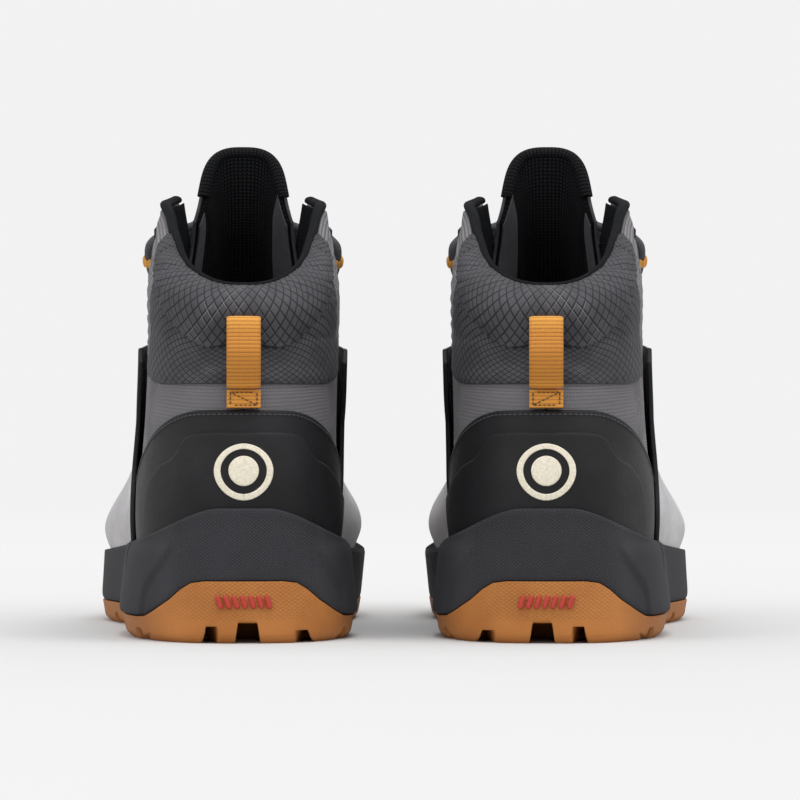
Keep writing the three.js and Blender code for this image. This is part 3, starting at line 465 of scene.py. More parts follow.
def on_floor(points, side):
    """A right boot's points, in millimetres with the heel at y = 0, set down in metres: turned outwards about
    the middle of the sole and moved beside the other boot, and mirrored for the left boot."""
    x, y, z = np.moveaxis(points, -1, 0)
    y = y - SOLE_LENGTH / 2
    reach = HEEL_SPACING / 2 + SOLE_LENGTH / 2 * np.sin(TOE_OUT)
    across = reach + x * np.cos(TOE_OUT) + y * np.sin(TOE_OUT)
    forward = y * np.cos(TOE_OUT) - x * np.sin(TOE_OUT) + BOOTS_FORWARD
    return np.stack([side * across, forward, z], -1) / 1000


SIDES = (("right", 1), ("left", -1))


def fit(name, part, finish, stands_for=None, body="boots"):
    """Puts a piece on both boots: it rides on a body and stands for the CAD node of the same layer."""
    points, faces, uv = part
    made = []
    for suffix, side in SIDES:
        turned = faces if side > 0 else [f[:, ::-1] for f in faces]
        piece = show(f"{name}_{suffix}", on_floor(points, side), turned, finish, uv)
        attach(piece, body if body == "boots" else f"{body}_{suffix}")
        if stands_for:
            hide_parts(f"{stands_for}_{suffix}")
        made.append(piece)
    return made


def woven_finish():
    """Ribbed weave: fat weft ribs 1.35 mm apart, bound down by thin warp threads every 0.55 mm."""
    weave = Finish("woven_ribs", roughness=0.85, sheen_weight=0.04, sheen_roughness=0.5)
    u, v, _, place = weave.place("UV")
    drift = weave.noise(place, 0.25, 2.0)
    rib = ((v + drift * 0.5) * (np.pi / 1.35)).sine().size()
    warp = (u * (2 * np.pi / 0.62)).sine() * 0.5 + 0.5
    speckle = weave.noise(place, 2.6, 2.0, 0.7)
    cover = (rib ** 0.55) * (0.72 + warp * 0.28)
    shade = weave.step(cover * 0.8 + speckle * 0.3, 0.25, 1.05)
    cloth = weave.blend(shade, tint(62, 60, 63), tint(140, 137, 141))
    patch = weave.step(weave.noise(place, 0.06, 3.0), 0.35, 0.7)
    weave.set(base_color=weave.blend(patch * 0.35, cloth, tint(104, 102, 106)))
    weave.set(roughness=0.78 + speckle * 0.2)
    weave.raised(rib * 0.34 + warp * rib * 0.12 + speckle * 0.12)
    return weave.material


WOVEN = woven_finish()
FABRIC = 1.6
QUARTER_TOP = 0.985
THROAT_CORNER = 0.95
BACK_PANEL_LEVEL = 0.59


def quarter_top(share):
    """The top of the woven panels: low round the back, where the pads cover them, and up to the collar in
    front."""
    beside, front = smoothstep(0.33, 0.42, np.abs(share)), np.clip((np.abs(share) - 0.53) * 14, 0, 1)
    drop = (QUARTER_TOP - THROAT_CORNER) * smoothstep(0.7, 1, np.abs(share))
    return mix(BACK_PANEL_LEVEL, mix(0.925, QUARTER_TOP, front), beside) - drop


def wrinkles(share, level):
    """Shallow folds across the front of the ankle, about 4 mm apart, strongest where the boot flexes."""
    where = smoothstep(0.6, 0.72, level) * (1 - smoothstep(0.94, 1, level))
    where = where * smoothstep(0.42, 0.6, np.abs(share))
    wave = np.sin(2 * np.pi * level / 0.031 + 2.2 * np.sin(7 * share) + 1.3 * np.sin(11 * level))
    return 0.42 * where * wave


def quarter(side):
    columns = eased(0.002, 1, 90) if side > 0 else eased(-1, -0.002, 90)

    def place(share, row):
        return at_round(share, row * quarter_top(share))

    def outer(share, row):
        return wrinkles(share, row * quarter_top(share))

    return panel(columns, eased(0, 1, 96), place, -FABRIC, outer, 0.8, 0.4)


for side, word in ((1, "outer"), (-1, "inner")):
    fit(f"side_panel_{word}", quarter(side), WOVEN, f"quarter_{word}")

# ---------------------------------------------------------------- the vamp and what is inside
# The vamp is the same weave over the toes. Under it lie the lining, two moulded stiffeners, the lasting
# board and the shank, all glued in before the sole is pressed on.
SEAM = 0.004


def across_vamp(inset):
    def place(column, level):
        edge = quarter_edge(level) + inset
        return mix(edge, 2 * np.pi - edge, column), level

    return place


vamp = panel(eased(0, 1, 110), eased(0, THROAT_LEVEL - SEAM, 80), across_vamp(4 * SEAM), -FABRIC, 0, 0.8, 0.4)
fit("vamp_cloth", vamp, WOVEN, "vamp")


def moulded_finish(name, dark, light):
    """Pressed board or nylon: a fine pebble and a few cloudy patches."""
    board = Finish(name, roughness=0.7)
    *_, place = board.place()
    grain = board.noise(place, 1.4, 3.0, 0.6)
    board.set(base_color=board.blend(grain, dark, light))
    board.raised(grain * 0.1)
    return board.material


def knit_finish(name="knit_lining", dark=(8, 9, 11), light=(36, 38, 42), loop=1.15):
    """Black knitted mesh with a brushed face: rows of small loops, softened by stray fibres."""
    knit = Finish(name, roughness=0.95, specular_ior_level=0.1)
    u, v, _, place = knit.place("UV")
    column = (u * (np.pi / loop)).sine()
    course = ((v + column * column * (loop * 0.3)) * (np.pi / (loop * 0.75))).sine().size()
    fibre = knit.noise(place, 3.2, 3.0, 0.75)
    cover = column.size() * course * 0.7 + fibre * 0.55
    knit.set(base_color=knit.blend(knit.step(cover, 0.25, 1.0), tint(*dark), tint(*light)))
    knit.raised(cover * 0.6)
    return knit.material


KNIT = knit_finish()
BOARD = moulded_finish("lasting_board", tint(150, 135, 108), tint(190, 175, 148))
NYLON = moulded_finish("moulded_nylon", tint(34, 35, 39), tint(56, 58, 63))
INSIDE = {
    "shank": NYLON,
    "heel_stiffener": NYLON,
    "toe_stiffener": NYLON,
    "lasting_board": BOARD,
    "vamp_lining": KNIT,
}
for node, finish in INSIDE.items():
    for suffix, _ in SIDES:
        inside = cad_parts[f"{node}_{suffix}"]
        inside.data.materials.clear()
        inside.data.materials.append(finish)

# ---------------------------------------------------------------- the collar's lining and binding
# Black knitted mesh over soft foam, quilted in upright channels round the ankle. A knitted tape is rolled
# over the crest of the collar and covers the raw edges of the pads and the lining.
LINING_DEPTH = 4.6
LINING = 1.2
COLLAR_FOAM = 4.4
CREST_DEPTH = 3.2
CHANNELS = 15  # upright channels from one edge of the throat to the other


def lining_depth(share, level):
    padded = (1 - smoothstep(0.5, 0.78, np.abs(share))) * smoothstep(0.5, 0.62, level)
    return mix(LINING_DEPTH + COLLAR_FOAM * padded, CREST_DEPTH, smoothstep(0.84, 1, level))


def crest_level(share):
    """The collar's top edge: level 1 round the back, and down to the corners of the throat in front."""
    front = QUARTER_TOP + 0.008 - (QUARTER_TOP - THROAT_CORNER) * smoothstep(0.7, 1, np.abs(share))
    return mix(1.0, front, smoothstep(0.5, 0.66, np.abs(share)))


def lining_place(share, row):
    return at_round(share, mix(0.012, crest_level(share) - 0.004, row))


def lining_face(share, row):
    level = lining_place(share, row)[1]
    puff = np.abs(np.sin(np.pi * CHANNELS / 2 * (share + 1))) ** 0.5
    return -lining_depth(share, level) - LINING - 0.9 * puff * smoothstep(0.5, 0.6, level) * (level < 0.985)


def lining_back(share, row):
    return -lining_depth(share, lining_place(share, row)[1])


lining_columns = eased(-0.985, 0.985, 180, 0.6)
lining = panel(lining_columns, eased(0, 1, 84, 0.6), lining_place, lining_face, lining_back, 0.6)
fit("collar_lining_knit", lining, KNIT, "collar_lining")


def swept(path, normal, wide, thick, sides=12, square=2.0, closed=False):
    """A closed strip carried along a path. Its section is a superellipse, wide across the path and thick along
    the normal. The place on its cloth is the length along it, and the way round from one edge and back."""
    ends = (np.roll(path, -1, 0) - np.roll(path, 1, 0)) if closed else np.gradient(path, axis=0)
    along = unit(ends)
    across = unit(np.cross(normal, along))
    up = np.cross(along, across)
    turn = np.arange(sides) * 2 * np.pi / sides
    radius = (np.abs(np.cos(turn)) ** square + np.abs(np.sin(turn)) ** square) ** (-1 / square)
    wide = np.broadcast_to(wide, len(path))[:, None, None]
    thick = np.broadcast_to(thick, len(path))[:, None, None]
    section = across[:, None] * (np.cos(turn) * radius)[:, None] * wide
    points = path[:, None] + section + up[:, None] * (np.sin(turn) * radius)[:, None] * thick
    count = len(path)
    at = np.arange(count * sides).reshape(count, sides)
    nxt = np.roll(at, -1, 0) if closed else at[1:]
    low = at if closed else at[:-1]
    faces = [np.stack([low, np.roll(low, -1, 1), np.roll(nxt, -1, 1), nxt], -1).reshape(-1, 4)]
    if not closed:
        faces += [at[:1, ::-1], at[-1:]]
    run = np.concatenate([[0], np.cumsum(np.linalg.norm(np.diff(path, axis=0), axis=-1))]) / 1000
    round_way = np.linalg.norm(np.array([wide.max(), thick.max()])) * (1 - np.abs(1 - turn / np.pi)) * 2 / 1000
    u, v = np.broadcast_arrays(run[:, None], round_way[None])
    return points.reshape(-1, 3), faces, np.stack([u, v], -1).reshape(-1, 2)


def facing_out(angle, level):
    return facing(angle, level)[2]


crest = np.linspace(-0.985, 0.985, 300)
crest_angle, crest_height = at_round(crest, crest_level(crest))
crest_line = off_upper(crest_angle, crest_height, -1.9)
binding = swept(crest_line, facing_out(crest_angle, crest_height), 1.5, 2.35, 14, 2.3)
BINDING = knit_finish("knit_binding", (10, 11, 13), (44, 45, 49), 0.9)
fit("collar_binding", binding, BINDING)


def insole_finish():
    """Felted insole cover: short matted fibres, a little paler where they catch the light."""
    felt = Finish("insole_felt", roughness=0.95, sheen_weight=0.05)
    *_, place = felt.place()
    fibre = felt.noise(place, 1.8, 4.0, 0.7)
    felt.set(base_color=felt.blend(fibre, tint(16, 16, 18), tint(52, 52, 56)))
    felt.raised(fibre * 0.4)
    return felt.material


INSOLE = insole_finish()
for suffix, _ in SIDES:
    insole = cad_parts[f"footbed_{suffix}"]
    insole.data.materials.clear()
    insole.data.materials.append(INSOLE)

# ---------------------------------------------------------------- the two padded panels of the ankle
# Ripstop cloth, cut on the bias, over foam: one panel low round the heel and one that rolls up into the
# collar and hangs over it in two lobes. Each is sewn down round its border, so it crowns in the middle.
PAD_SEAM = (
    (0, 0.07, 0.15, 0.21, 0.29, 0.36, 0.45, 0.58),
    (0.752, 0.742, 0.733, 0.757, 0.823, 0.88, 0.93, 0.968),
)
ANKLE_REACH = 0.43
COLLAR_REACH = 0.58


def pad_seam(share):
    return through(*PAD_SEAM, np.abs(share))


def ripstop_finish():
    """Plain fine weave with a grid of thicker dark yarns every 2.4 mm, turned 45 degrees, and a painted
    highlight:
    pale lines along one edge of a few of them near the middle of the heel, where the yarns catch the light."""
    cloth = Finish("ripstop", roughness=0.72, specular_ior_level=0.22)
    u, v, _, place = cloth.place("UV")
    sag = cloth.noise(place, 0.05, 1.0) * 1.6
    first = (u + v + sag) * 0.7071
    second = (v - u + sag) * 0.7071

    def near_yarn(way, shift=0.0):
        """How far a spot is from the nearest thick yarn, in millimetres."""
        return ((way + shift) % 2.4 - 1.2).size()

    one, two = near_yarn(first), near_yarn(second)
    yarn = 1.0 - cloth.step(one.at_most(two), 0.1, 0.3)
    # Painted highlight: a pale line along one edge of the thick yarns, kept to cloudy patches near the middle
    # of the heel.
    pale = 1.0 - cloth.step(near_yarn(first, 0.42).at_most(near_yarn(second, 0.42)), 0.02, 0.12)
    clouds = cloth.step(cloth.noise(place, 0.09, 1.0), 0.46, 0.6)
    middle = (1.0 - cloth.step((u - 6.0).size(), 6.0, 19.0)) * clouds
    weave = (first * (np.pi / 0.24)).sine() * (second * (np.pi / 0.24)).sine()
    haze = cloth.noise(place, 0.08, 3.0)
    ground = cloth.blend(cloth.step(haze, 0.3, 0.7), tint(62, 62, 66), tint(77, 76, 80))
    ground = cloth.blend(weave * 0.12 + 0.12, ground, tint(50, 50, 54))
    lined = cloth.blend(yarn * 0.85, ground, tint(22, 23, 27))
    cloth.set(base_color=cloth.blend(pale * middle * 0.6, lined, tint(140, 138, 141)))
    cloth.set(roughness=0.55 + haze * 0.2)
    cloth.raised(yarn * 0.1 + weave * 0.035 - pale * middle * 0.02)
    return cloth.material


def blown_up(start, pressure, most):
    """A sheet sewn down round its border and blown up from behind with Cloth, for twenty frames, in a space
    ten times too large. No point moves further than most, in millimetres."""
    rows, columns = start.shape[:2]
    sheet = show("pad_blank", start.reshape(-1, 3) / 100, [sheet_faces(rows, columns)], None)
    sewn = sheet.vertex_groups.new(name="sewn")
    sewn.add(rim_of(rows, columns).tolist(), 1.0, "REPLACE")
    cloth = sheet.modifiers.new("Cloth", "CLOTH")
    cloth.settings.quality = 7
    cloth.settings.mass = 0.25
    cloth.settings.tension_stiffness = 18
    cloth.settings.compression_stiffness = 12
    cloth.settings.bending_stiffness = 0.4
    cloth.settings.shrink_min = -0.035
    cloth.settings.use_pressure = True
    cloth.settings.uniform_pressure_force = pressure
    cloth.settings.vertex_group_mass = "sewn"
    cloth.settings.effector_weights.gravity = 0
    cloth.point_cache.frame_start, cloth.point_cache.frame_end = 1, 20
    for number in range(1, 21):
        scene.frame_set(number)
    settled = sheet.evaluated_get(bpy.context.evaluated_depsgraph_get()).data
    moved = np.empty(rows * columns * 3, np.float32)
    settled.vertices.foreach_get("co", moved)
    bpy.data.objects.remove(sheet)
    scene.frame_set(1)
    shift = moved.reshape(start.shape) * 100.0 - start
    length = np.linalg.norm(shift, axis=-1)
    print("pad rises, mm:", length.mean().round(2), length.max().round(2))
    capped = most * np.tanh(length / most)
    return start + shift * (capped / np.maximum(length, 1e-6))[..., None]


def pad(name, columns, rows, place, border, pressure, most, node):
    """A padded panel: its sewn border lies a little off the woven face, and its back lies on it."""
    column, row = np.meshgrid(columns, rows)
    angle, level = place(column, row)
    base = on_upper(angle, level)
    near, uv = edge_distance(base)
    out = facing_out(angle, level)
    start = base + out * as_field(border, column, row)[..., None]
    cloth = blown_up(start, pressure, as_field(most, column, row))
    part = slab(cloth, base + out * (as_field(border, column, row) - 0.7)[..., None], uv)
    for piece in fit(name, part, RIPSTOP, node):
        smooth = piece.modifiers.new("Subdivision", "SUBSURF")
        smooth.levels = smooth.render_levels = 1
    return cloth


RIPSTOP = ripstop_finish()


def ankle_place(column, row):
    low = 0.584 + 0.055 * np.abs(column) ** 9
    share = ANKLE_REACH * column
    return at_round(share, mix(low, pad_seam(share) + 0.012, row))


def collar_place(column, row):
    share = COLLAR_REACH * column
    return at_round(share, mix(pad_seam(share), np.maximum(crest_level(share), pad_seam(share) + 0.012), row))


def beside_tab(high):
    """The most a pad may rise: less behind the pull tab."""
    return lambda column, row: high * (1 - 0.35 * np.exp(-((column / 0.16) ** 2)))


def collar_border(column, row):
    return mix(1.6, -0.4, smoothstep(0.72, 1, row))


pad(
    "ankle_panel", eased(-1, 1, 96, 0.5), eased(0, 1, 34, 0.6), ankle_place, 0.75, 5,
    beside_tab(2.1), "ankle_pad",
)
pad(
    "collar_panel", eased(-1, 1, 130, 0.5), eased(0, 1, 40, 0.6), collar_place, collar_border, 7,
    beside_tab(3.4), "collar_pad",
)

# ---------------------------------------------------------------- the heel cup, its raised panel and the badge
# A soft black film is heat-pressed round the heel. A second, thicker layer in the shape of a stepped arch is
# bonded over its lower part, and a cream badge is printed on that: a plain ring round a plain disc.
RIM_HEEL, RIM_SIDE, RIM_TOE = 0.145, 0.045, 0.08


def rim_level(angle):
    """The midsole's top edge, as a level of the upper: high at the heel and a little raised at the toe."""
    a = np.abs(angle)
    heel = (RIM_HEEL - RIM_SIDE) * (1 - smoothstep(0.2, 0.95, a))
    return RIM_SIDE + heel + (RIM_TOE - RIM_SIDE) * smoothstep(2.2, 2.8, a)


def tucked(share, row, top, tuck=0.022):
    """A place between just below the midsole's rim and a top line."""
    return at_round(share, mix(rim_level(share * quarter_edge(0.1)) - tuck, top, row))


def film_finish(name="black_film", dark=(19, 19, 21), light=(33, 32, 35), rough=0.5):
    """Pressed polyurethane film: very fine leather-like pores, rubbed a little smoother and paler in places."""
    film = Finish(name, specular_ior_level=0.22)
    *_, place = film.place()
    cell = {"Vector": place, "Scale": 1.5}
    pores = film.node("ShaderNodeTexVoronoi", {"feature": "DISTANCE_TO_EDGE"}, cell, "Distance")
    rubbed = film.step(film.noise(place, 0.035, 4.0, 0.6), 0.35, 0.75)
    dust = film.noise(place, 0.9, 3.0)
    film.set(base_color=film.blend(rubbed * 0.6 + dust * 0.25, tint(*dark), tint(*light)))
    film.set(roughness=rough + dust * 0.18 - rubbed * 0.06)
    film.raised(film.step(pores, 0.0, 0.16) * 0.035 + dust * 0.05)
    return film.material


FILM = film_finish()
CUP_INNER, CUP_OUTER, ARCH_OUTER = 0.3, 1.5, 2.9


def cup_top(share):
    return 0.478 - 0.31 * smoothstep(0.16, 0.66, np.abs(share))


def cup_place(share, row):
    return tucked(share, row, cup_top(share))


heel_cup = panel(eased(-0.62, 0.62, 130), eased(0, 1, 60), cup_place, CUP_INNER, CUP_OUTER, 1.2, 0.3)
fit("heel_film", heel_cup, FILM, "heel_cup")

# The arch's top line, as heights in millimetres at distances from the middle of the heel.
ARCH_LINE = ((0, 14, 18.5, 21.5, 25, 30, 34.5, 37.3, 39), (78, 77.8, 76, 71.5, 68.2, 66.4, 63, 56, 46))


def arch_place(share, row):
    angle = share * quarter_edge(0.25)
    width = np.abs(on_upper(angle, np.full_like(angle, 0.25))[..., 0])
    height = through(*ARCH_LINE, width) - 5.5 * smoothstep(26, 40, width)
    top = np.interp(height, BACK_Z[:5], LEVELS[:5])
    low = rim_level(share * quarter_edge(0.1)) - 0.022
    return at_round(share, mix(low, np.maximum(top, low + 0.01), row))


arch_side = eased(0.14, 0.47, 66, 0.4)
arch_columns = np.concatenate([-arch_side[::-1], eased(-0.14, 0.14, 50, 0)[1:-1], arch_side])
arch = panel(arch_columns, eased(0, 1, 50, 0.9), arch_place, CUP_OUTER - 0.3, ARCH_OUTER, 1.6, 0.25)
fit("heel_arch", arch, FILM)

BADGE_LEVEL = 0.262
BADGE_RADIUS = 10.1


def printed_finish():
    """Screen-printed cream ink, with a faint orange-peel and tiny pinholes."""
    ink = Finish("cream_ink", roughness=0.55)
    *_, place = ink.place()
    peel = ink.noise(place, 1.2, 2.0)
    ink.set(base_color=ink.blend(ink.step(peel, 0.25, 0.75), tint(206, 198, 178), tint(226, 219, 200)))
    ink.raised(peel * 0.05)
    return ink.material


def bent_ring(inner, outer, sweep, middle_turn):
    """A flat ring or part ring, in polar steps, bent onto the heel at the badge's level."""
    turn = mix(middle_turn - sweep / 2, middle_turn + sweep / 2, np.linspace(0, 1, 97))
    radius = eased(inner, outer, 10, 0.6)
    t, r = np.meshgrid(turn, radius)
    x, z = r * np.cos(t), r * np.sin(t)
    per_angle = 5 * (on_upper(0.1, BADGE_LEVEL) - on_upper(-0.1, BADGE_LEVEL))[0]
    per_level = 10 * (on_upper(0, BADGE_LEVEL + 0.05) - on_upper(0, BADGE_LEVEL - 0.05))[2]
    angle, level = x / per_angle, BADGE_LEVEL + z / per_level
    near = np.minimum(r - inner, outer - r)
    lift = 0.1 + 0.28 * np.sqrt(1 - (1 - np.clip(near / 0.35, 0, 1)) ** 2)
    uv = np.stack([x, z], -1) / 1000
    face, back = off_upper(angle, level, ARCH_OUTER + lift), off_upper(angle, level, ARCH_OUTER - 0.15)
    return slab(face[::-1], back[::-1], uv[::-1])


badge_parts = [bent_ring(BADGE_RADIUS - 2.1, BADGE_RADIUS, 2 * np.pi - 1e-3, np.pi / 2)]
badge_parts += [bent_ring(0.05, 5.4, 2 * np.pi - 1e-3, np.pi / 2)]
fit("badge_print", gathered(badge_parts), printed_finish(), "heel_badge")

# ---------------------------------------------------------------- the midsole
# Moulded foam with a high rim that cups the upper, glued to it all round. Its back is knurled with small
# diamonds, a blade-shaped facet runs down each side of the heel, and the rim is notched beside it.
LIP_BASE = 7.5
TOE_LIP_RISE = 9
TOE_SPRING, TOE_SPRING_START = 14, 200
EDGE_ANGLES_OUT = (0, 0.9, 1.9, np.pi)
EDGE_OUTER_SIDE, EDGE_INNER_SIDE = (8, 7.5, 6.5, 9), (8, 7.5, 4, 9)
LIP_LINE = ((0, 13, 17, 20, 24, 30, 33, 36), (23, 23, 22.3, 20, 15.9, 11.3, 9.3, 8.9))


def toe_spring(y):
    return TOE_SPRING * (np.maximum(0, y - TOE_SPRING_START) / (SOLE_LENGTH - TOE_SPRING_START)) ** 2


def sole_edge(angle):
    """How far the sole stands out past the feather edge."""
    outer, inner = [through(EDGE_ANGLES_OUT, e, np.abs(angle)) for e in (EDGE_OUTER_SIDE, EDGE_INNER_SIDE)]
    return np.where(angle < 0, inner, outer)


def sole_line(angle, out, height):
    """A point beside the feather edge in plan, moved out, at a height that lifts at the toe."""
    along = on_upper(angle + 0.03, 0) - on_upper(angle - 0.03, 0)
    along = unit(along * (1, 1, 0))
    spot = on_upper(angle, 0)
    x, y = spot[..., 0] + along[..., 1] * out, spot[..., 1] - along[..., 0] * out
    return np.stack([x, y, height + toe_spring(y)], -1)


def lip_top(angle):
    """The top of the outsole's rim: high behind the heel, low along the sides, and raised at the toe."""
    width = np.abs(on_upper(angle, 0)[..., 0] * 1.06)
    heel = np.interp(width, *LIP_LINE)
    side = LIP_LINE[1][-1] + TOE_LIP_RISE * smoothstep(2.5, 2.95, np.abs(angle))
    return np.where(np.abs(angle) < 1.1, heel, side)


def around(count):
    """Angles once round the boot, from the middle of the heel."""
    return (np.arange(count) - count // 2) * (2 * np.pi / count)


def section(stops, shares):
    """Rows of points at shares of the way through stops, one row per stop, by cubic pieces."""
    stops = np.stack(stops)
    knots, along = np.arange(len(stops)), stops.shape[1]
    rows = [through(knots, stops[..., axis], np.full(along, t)) for t in shares for axis in range(3)]
    return np.stack(rows).reshape(len(shares), 3, -1).transpose(0, 2, 1)


def profile(stops, count):
    """A section through stops in equal shares."""
    return section(stops, np.linspace(0, len(stops) - 1, count))


def closed_ring(lines):
    """A closed tube from lines that run round the boot; the last line meets the first."""
    count, steps = lines.shape[:2]
    at = np.arange(count * steps).reshape(count, steps)
    up, on = np.roll(at, -1, 0), np.roll(at, -1, 1)
    faces = np.stack([at, on, np.roll(up, -1, 1), up], -1).reshape(-1, 4)
    run = steps_between(lines, 0) / 1000
    uv = np.stack([np.broadcast_to(steps_between(lines, 1).mean(0), run.shape) / 1000, run], -1)
    return lines.reshape(-1, 3), [faces], uv.reshape(-1, 2)


def midsole_part():
    a = around(720)
    rim, lip, edge = rim_level(a), lip_top(a), sole_edge(a)
    notch = 1.1 * (np.abs(np.mod(np.abs(a) * 60, 5.2) - 2.6) < 0.5) * (np.abs(a) > 0.86) * (np.abs(a) < 1.35)
    feather = on_upper(a, 0)[..., 2]
    floor = off_upper(a, np.zeros_like(a), 1.2)
    floor[:, 2] = feather - 1
    wall = [
        sole_line(a, edge - 3.4, lip - 2.4), sole_line(a, edge - 1.3, lip + 0.35),
        sole_line(a, edge - 0.5, lip + 0.8),
        sole_line(a, edge, lip + 3.4), mix(sole_line(a, edge, lip + 3.4), off_upper(a, rim * 0.75, 4.8), 0.5),
        off_upper(a, rim * 0.75, 4.8 - notch), off_upper(a, rim - 0.004, 4.5 - notch),
        off_upper(a, rim + 0.004, 3.9),
        off_upper(a, rim - 0.004, 3.2), off_upper(a, rim * 0.5, 1.9), floor,
    ]
    lines = profile(wall, 64)
    x, _, z = np.moveaxis(lines, -1, 0)
    ridge = np.interp(z, (8, 14, 20, 33, 42), (38.5, 38, 37, 28.5, 24))
    outward = unit(sole_line(a, 1.0, 0 * a) - sole_line(a, 0.0, 0 * a))[None]
    blade = smoothstep(-0.5, 0.5, np.abs(x) - ridge) * (1 - smoothstep(33, 38, z)) * (np.abs(a) < 1.2)
    outer = np.arange(64)[:, None] < 40
    forefoot = 0.5 * (np.abs(np.mod(a * 30, 3) - 1.5) < 0.35) * (np.abs(a) > 1.9)
    shown = outer * smoothstep(8, 12, np.arange(64)[:, None])
    lines = lines + outward * ((1.15 * blade - forefoot) * shown)[..., None]
    return closed_ring(lines[:, ::-1][::-1])


def foam_finish():
    """Moulded foam: a fine pebble all over, small raised diamonds on the back of the heel,
    and painted shade on the sides and in the grooves between the diamonds.
    """
    foam = Finish("midsole_foam", roughness=0.8, specular_ior_level=0.25)
    x, y, z, place = foam.place()
    across = (x.size() - HEEL_SPACING / 2).size()
    u, v = (x.size() - HEEL_SPACING / 2) * (1 / 1.6), z * (1 / 1.25)
    first = ((u + v) * np.pi).sine().size()
    second = ((u - v) * np.pi).sine().size()
    back = (1.0 - foam.step(across, 24.0, 34.0)) * (1.0 - foam.step(y, -130.0, -110.0))
    diamond = first.at_most(second) * back
    grain = foam.noise(place, 1.1, 4.0, 0.7)
    patch = foam.noise(place, 0.03, 3.0)
    shade = foam.blend(foam.step(patch, 0.3, 0.7), tint(51, 51, 55), tint(61, 61, 66))
    # Painted shade: the foam is darker towards the sides of each boot.
    shade = foam.blend(foam.step(across, 28.0, 38.0) * 0.7, shade, tint(40, 40, 43))
    # Painted shade: the grooves between the raised diamonds on the back are darker.
    foam.set(base_color=foam.blend(grain * 0.35 + (1.0 - diamond) * back * 0.3, shade, tint(44, 44, 48)))
    foam.raised(diamond * 0.3 + grain * 0.14)
    return foam.material


FOAM = foam_finish()
fit("midsole_foam", midsole_part(), FOAM, "midsole")

# ---------------------------------------------------------------- the outsole
# Gum rubber with chevron lugs, moulded in one piece with the rim that wraps up over the back of the midsole
# and glued under it. Channels between the heel lugs run out at the back as notches.
LUG_HEIGHT = 4.3
GROOVE_PITCH, GROOVE_FIRST, GROOVE_WIDTH, GROOVE_SWEEP = 24, 34, 5.0, 0.3
# Each channel at the back: its middle, width, height and lean.
HEEL_NOTCHES = (
    (-1.5, 9.5, 7.7, 0), (-20.3, 5.5, 4.6, 0.4), (11.5, 5.5, 6.2, -0.4), (33, 4, 3.4, -0.3), (-33, 4, 3.2, 0.3),
)


def tread(x, y):
    """How high the bottom lies above its lugs: 0 on a lug, the full lug height in a groove."""
    swept_y = y - np.abs(x) * GROOVE_SWEEP - GROOVE_FIRST + 42 * GROOVE_SWEEP
    off = np.abs(np.mod(swept_y + GROOVE_PITCH / 2, GROOVE_PITCH) - GROOVE_PITCH / 2)
    cross = 1 - smoothstep(GROOVE_WIDTH / 2 - 0.6, GROOVE_WIDTH / 2 + 0.6, off)
    cross = cross * (np.abs(x) > 9) * (y > 16)
    spine = 1 - smoothstep(2.4, 3.6, np.abs(np.abs(x) - 12))
    spine = spine * smoothstep(60, 64, y) * (1 - smoothstep(262, 266, y))
    return LUG_HEIGHT * np.maximum(cross, 0.75 * spine)


def notch_height(x, y):
    """The height of the channels at the back of the heel, which fade out 30 mm forward."""
    total = np.zeros_like(x)
    for centre, wide, high, lean in HEEL_NOTCHES:
        share = (x - centre + lean * y * 0.5) / (wide / 2)
        arch = high * (1 - smoothstep(0.72, 1.05, np.abs(share)))
        total = np.maximum(total, arch * (1 - smoothstep(18, 40, y)))
    return total


def outsole_part():
    half, across = 420, 64
    a = around(2 * half)
    a = np.roll(a, -half)  # 0 first, then up to pi, then from -pi back to 0
    edge, lip = sole_edge(a), lip_top(a)
    stops = [
        sole_line(a, edge - 3.6, 0 * a), sole_line(a, edge - 1.6, 0 * a + 2.2),
        sole_line(a, edge - 0.9, 0 * a + 5), sole_line(a, edge - 0.5, mix(5, lip, 0.6)),
        sole_line(a, edge - 0.3, lip - 0.5), sole_line(a, edge - 0.6, lip),
        sole_line(a, edge - 2.2, lip - 0.1), sole_line(a, edge - 2.7, lip - 1.2),
        sole_line(a, edge - 2.8, 0 * a + LIP_BASE),
    ]
    shares = np.concatenate([np.linspace(0, 5, 26), np.linspace(5, 8, 7)[1:]])
    wall = section(stops, shares)
    x, y, z = np.moveaxis(wall, -1, 0)
    base = toe_spring(y)
    cut = np.maximum(tread(x, y), notch_height(x, y)) * (np.arange(len(shares)) < 26)[:, None]
    lifted = cut + base + 0.02 * np.arange(len(shares))[:, None]
    wall[..., 2] = np.maximum(z, np.minimum(lifted, lip - 1 + base))
    count = 2 * half
    ring = wall.reshape(-1, 3)
    k, m = np.arange(1, half), np.linspace(0, 1, across + 1)[1:-1]
    low, high = wall[0, (count - k) % count], wall[0, k]
    inside = mix(low[:, None], high[:, None], m[None, :, None])
    inner_x, inner_y = inside[..., 0], inside[..., 1]
    relief = np.maximum(tread(inner_x, inner_y), notch_height(inner_x, inner_y))
    inside[..., 2] = toe_spring(inner_y) + relief
    start = len(ring)
    body = start + np.arange((half - 1) * (across - 1)).reshape(half - 1, across - 1)
    table = np.concatenate([(count - k)[:, None], body, k[:, None]], 1)
    under = np.stack([table[:-1, :-1], table[1:, :-1], table[1:, 1:], table[:-1, 1:]], -1).reshape(-1, 4)
    tips = [np.stack([np.zeros(across, int), table[0, :-1], table[0, 1:]], -1)]
    tips += [np.stack([np.full(across, half), table[-1, 1:], table[-1, :-1]], -1)]
    at = np.arange(ring.shape[0]).reshape(len(shares), count)
    on = np.roll(at, -1, 1)
    sides = np.stack([at[:-1], on[:-1], on[1:], at[1:]], -1).reshape(-1, 4)
    top = at[-1]
    cap = np.stack([top[k[:-1]], top[count - k[:-1]], top[count - k[1:]], top[k[1:]]], -1)
    ends = np.array([[top[0], top[count - 1], top[1]], [top[half], top[half - 1], top[half + 1]]])
    points = np.concatenate([ring, inside.reshape(-1, 3)])
    faces = [f[:, ::-1] for f in (under, *tips, sides, cap, ends)]
    return points, faces, points[:, :2] / 1000


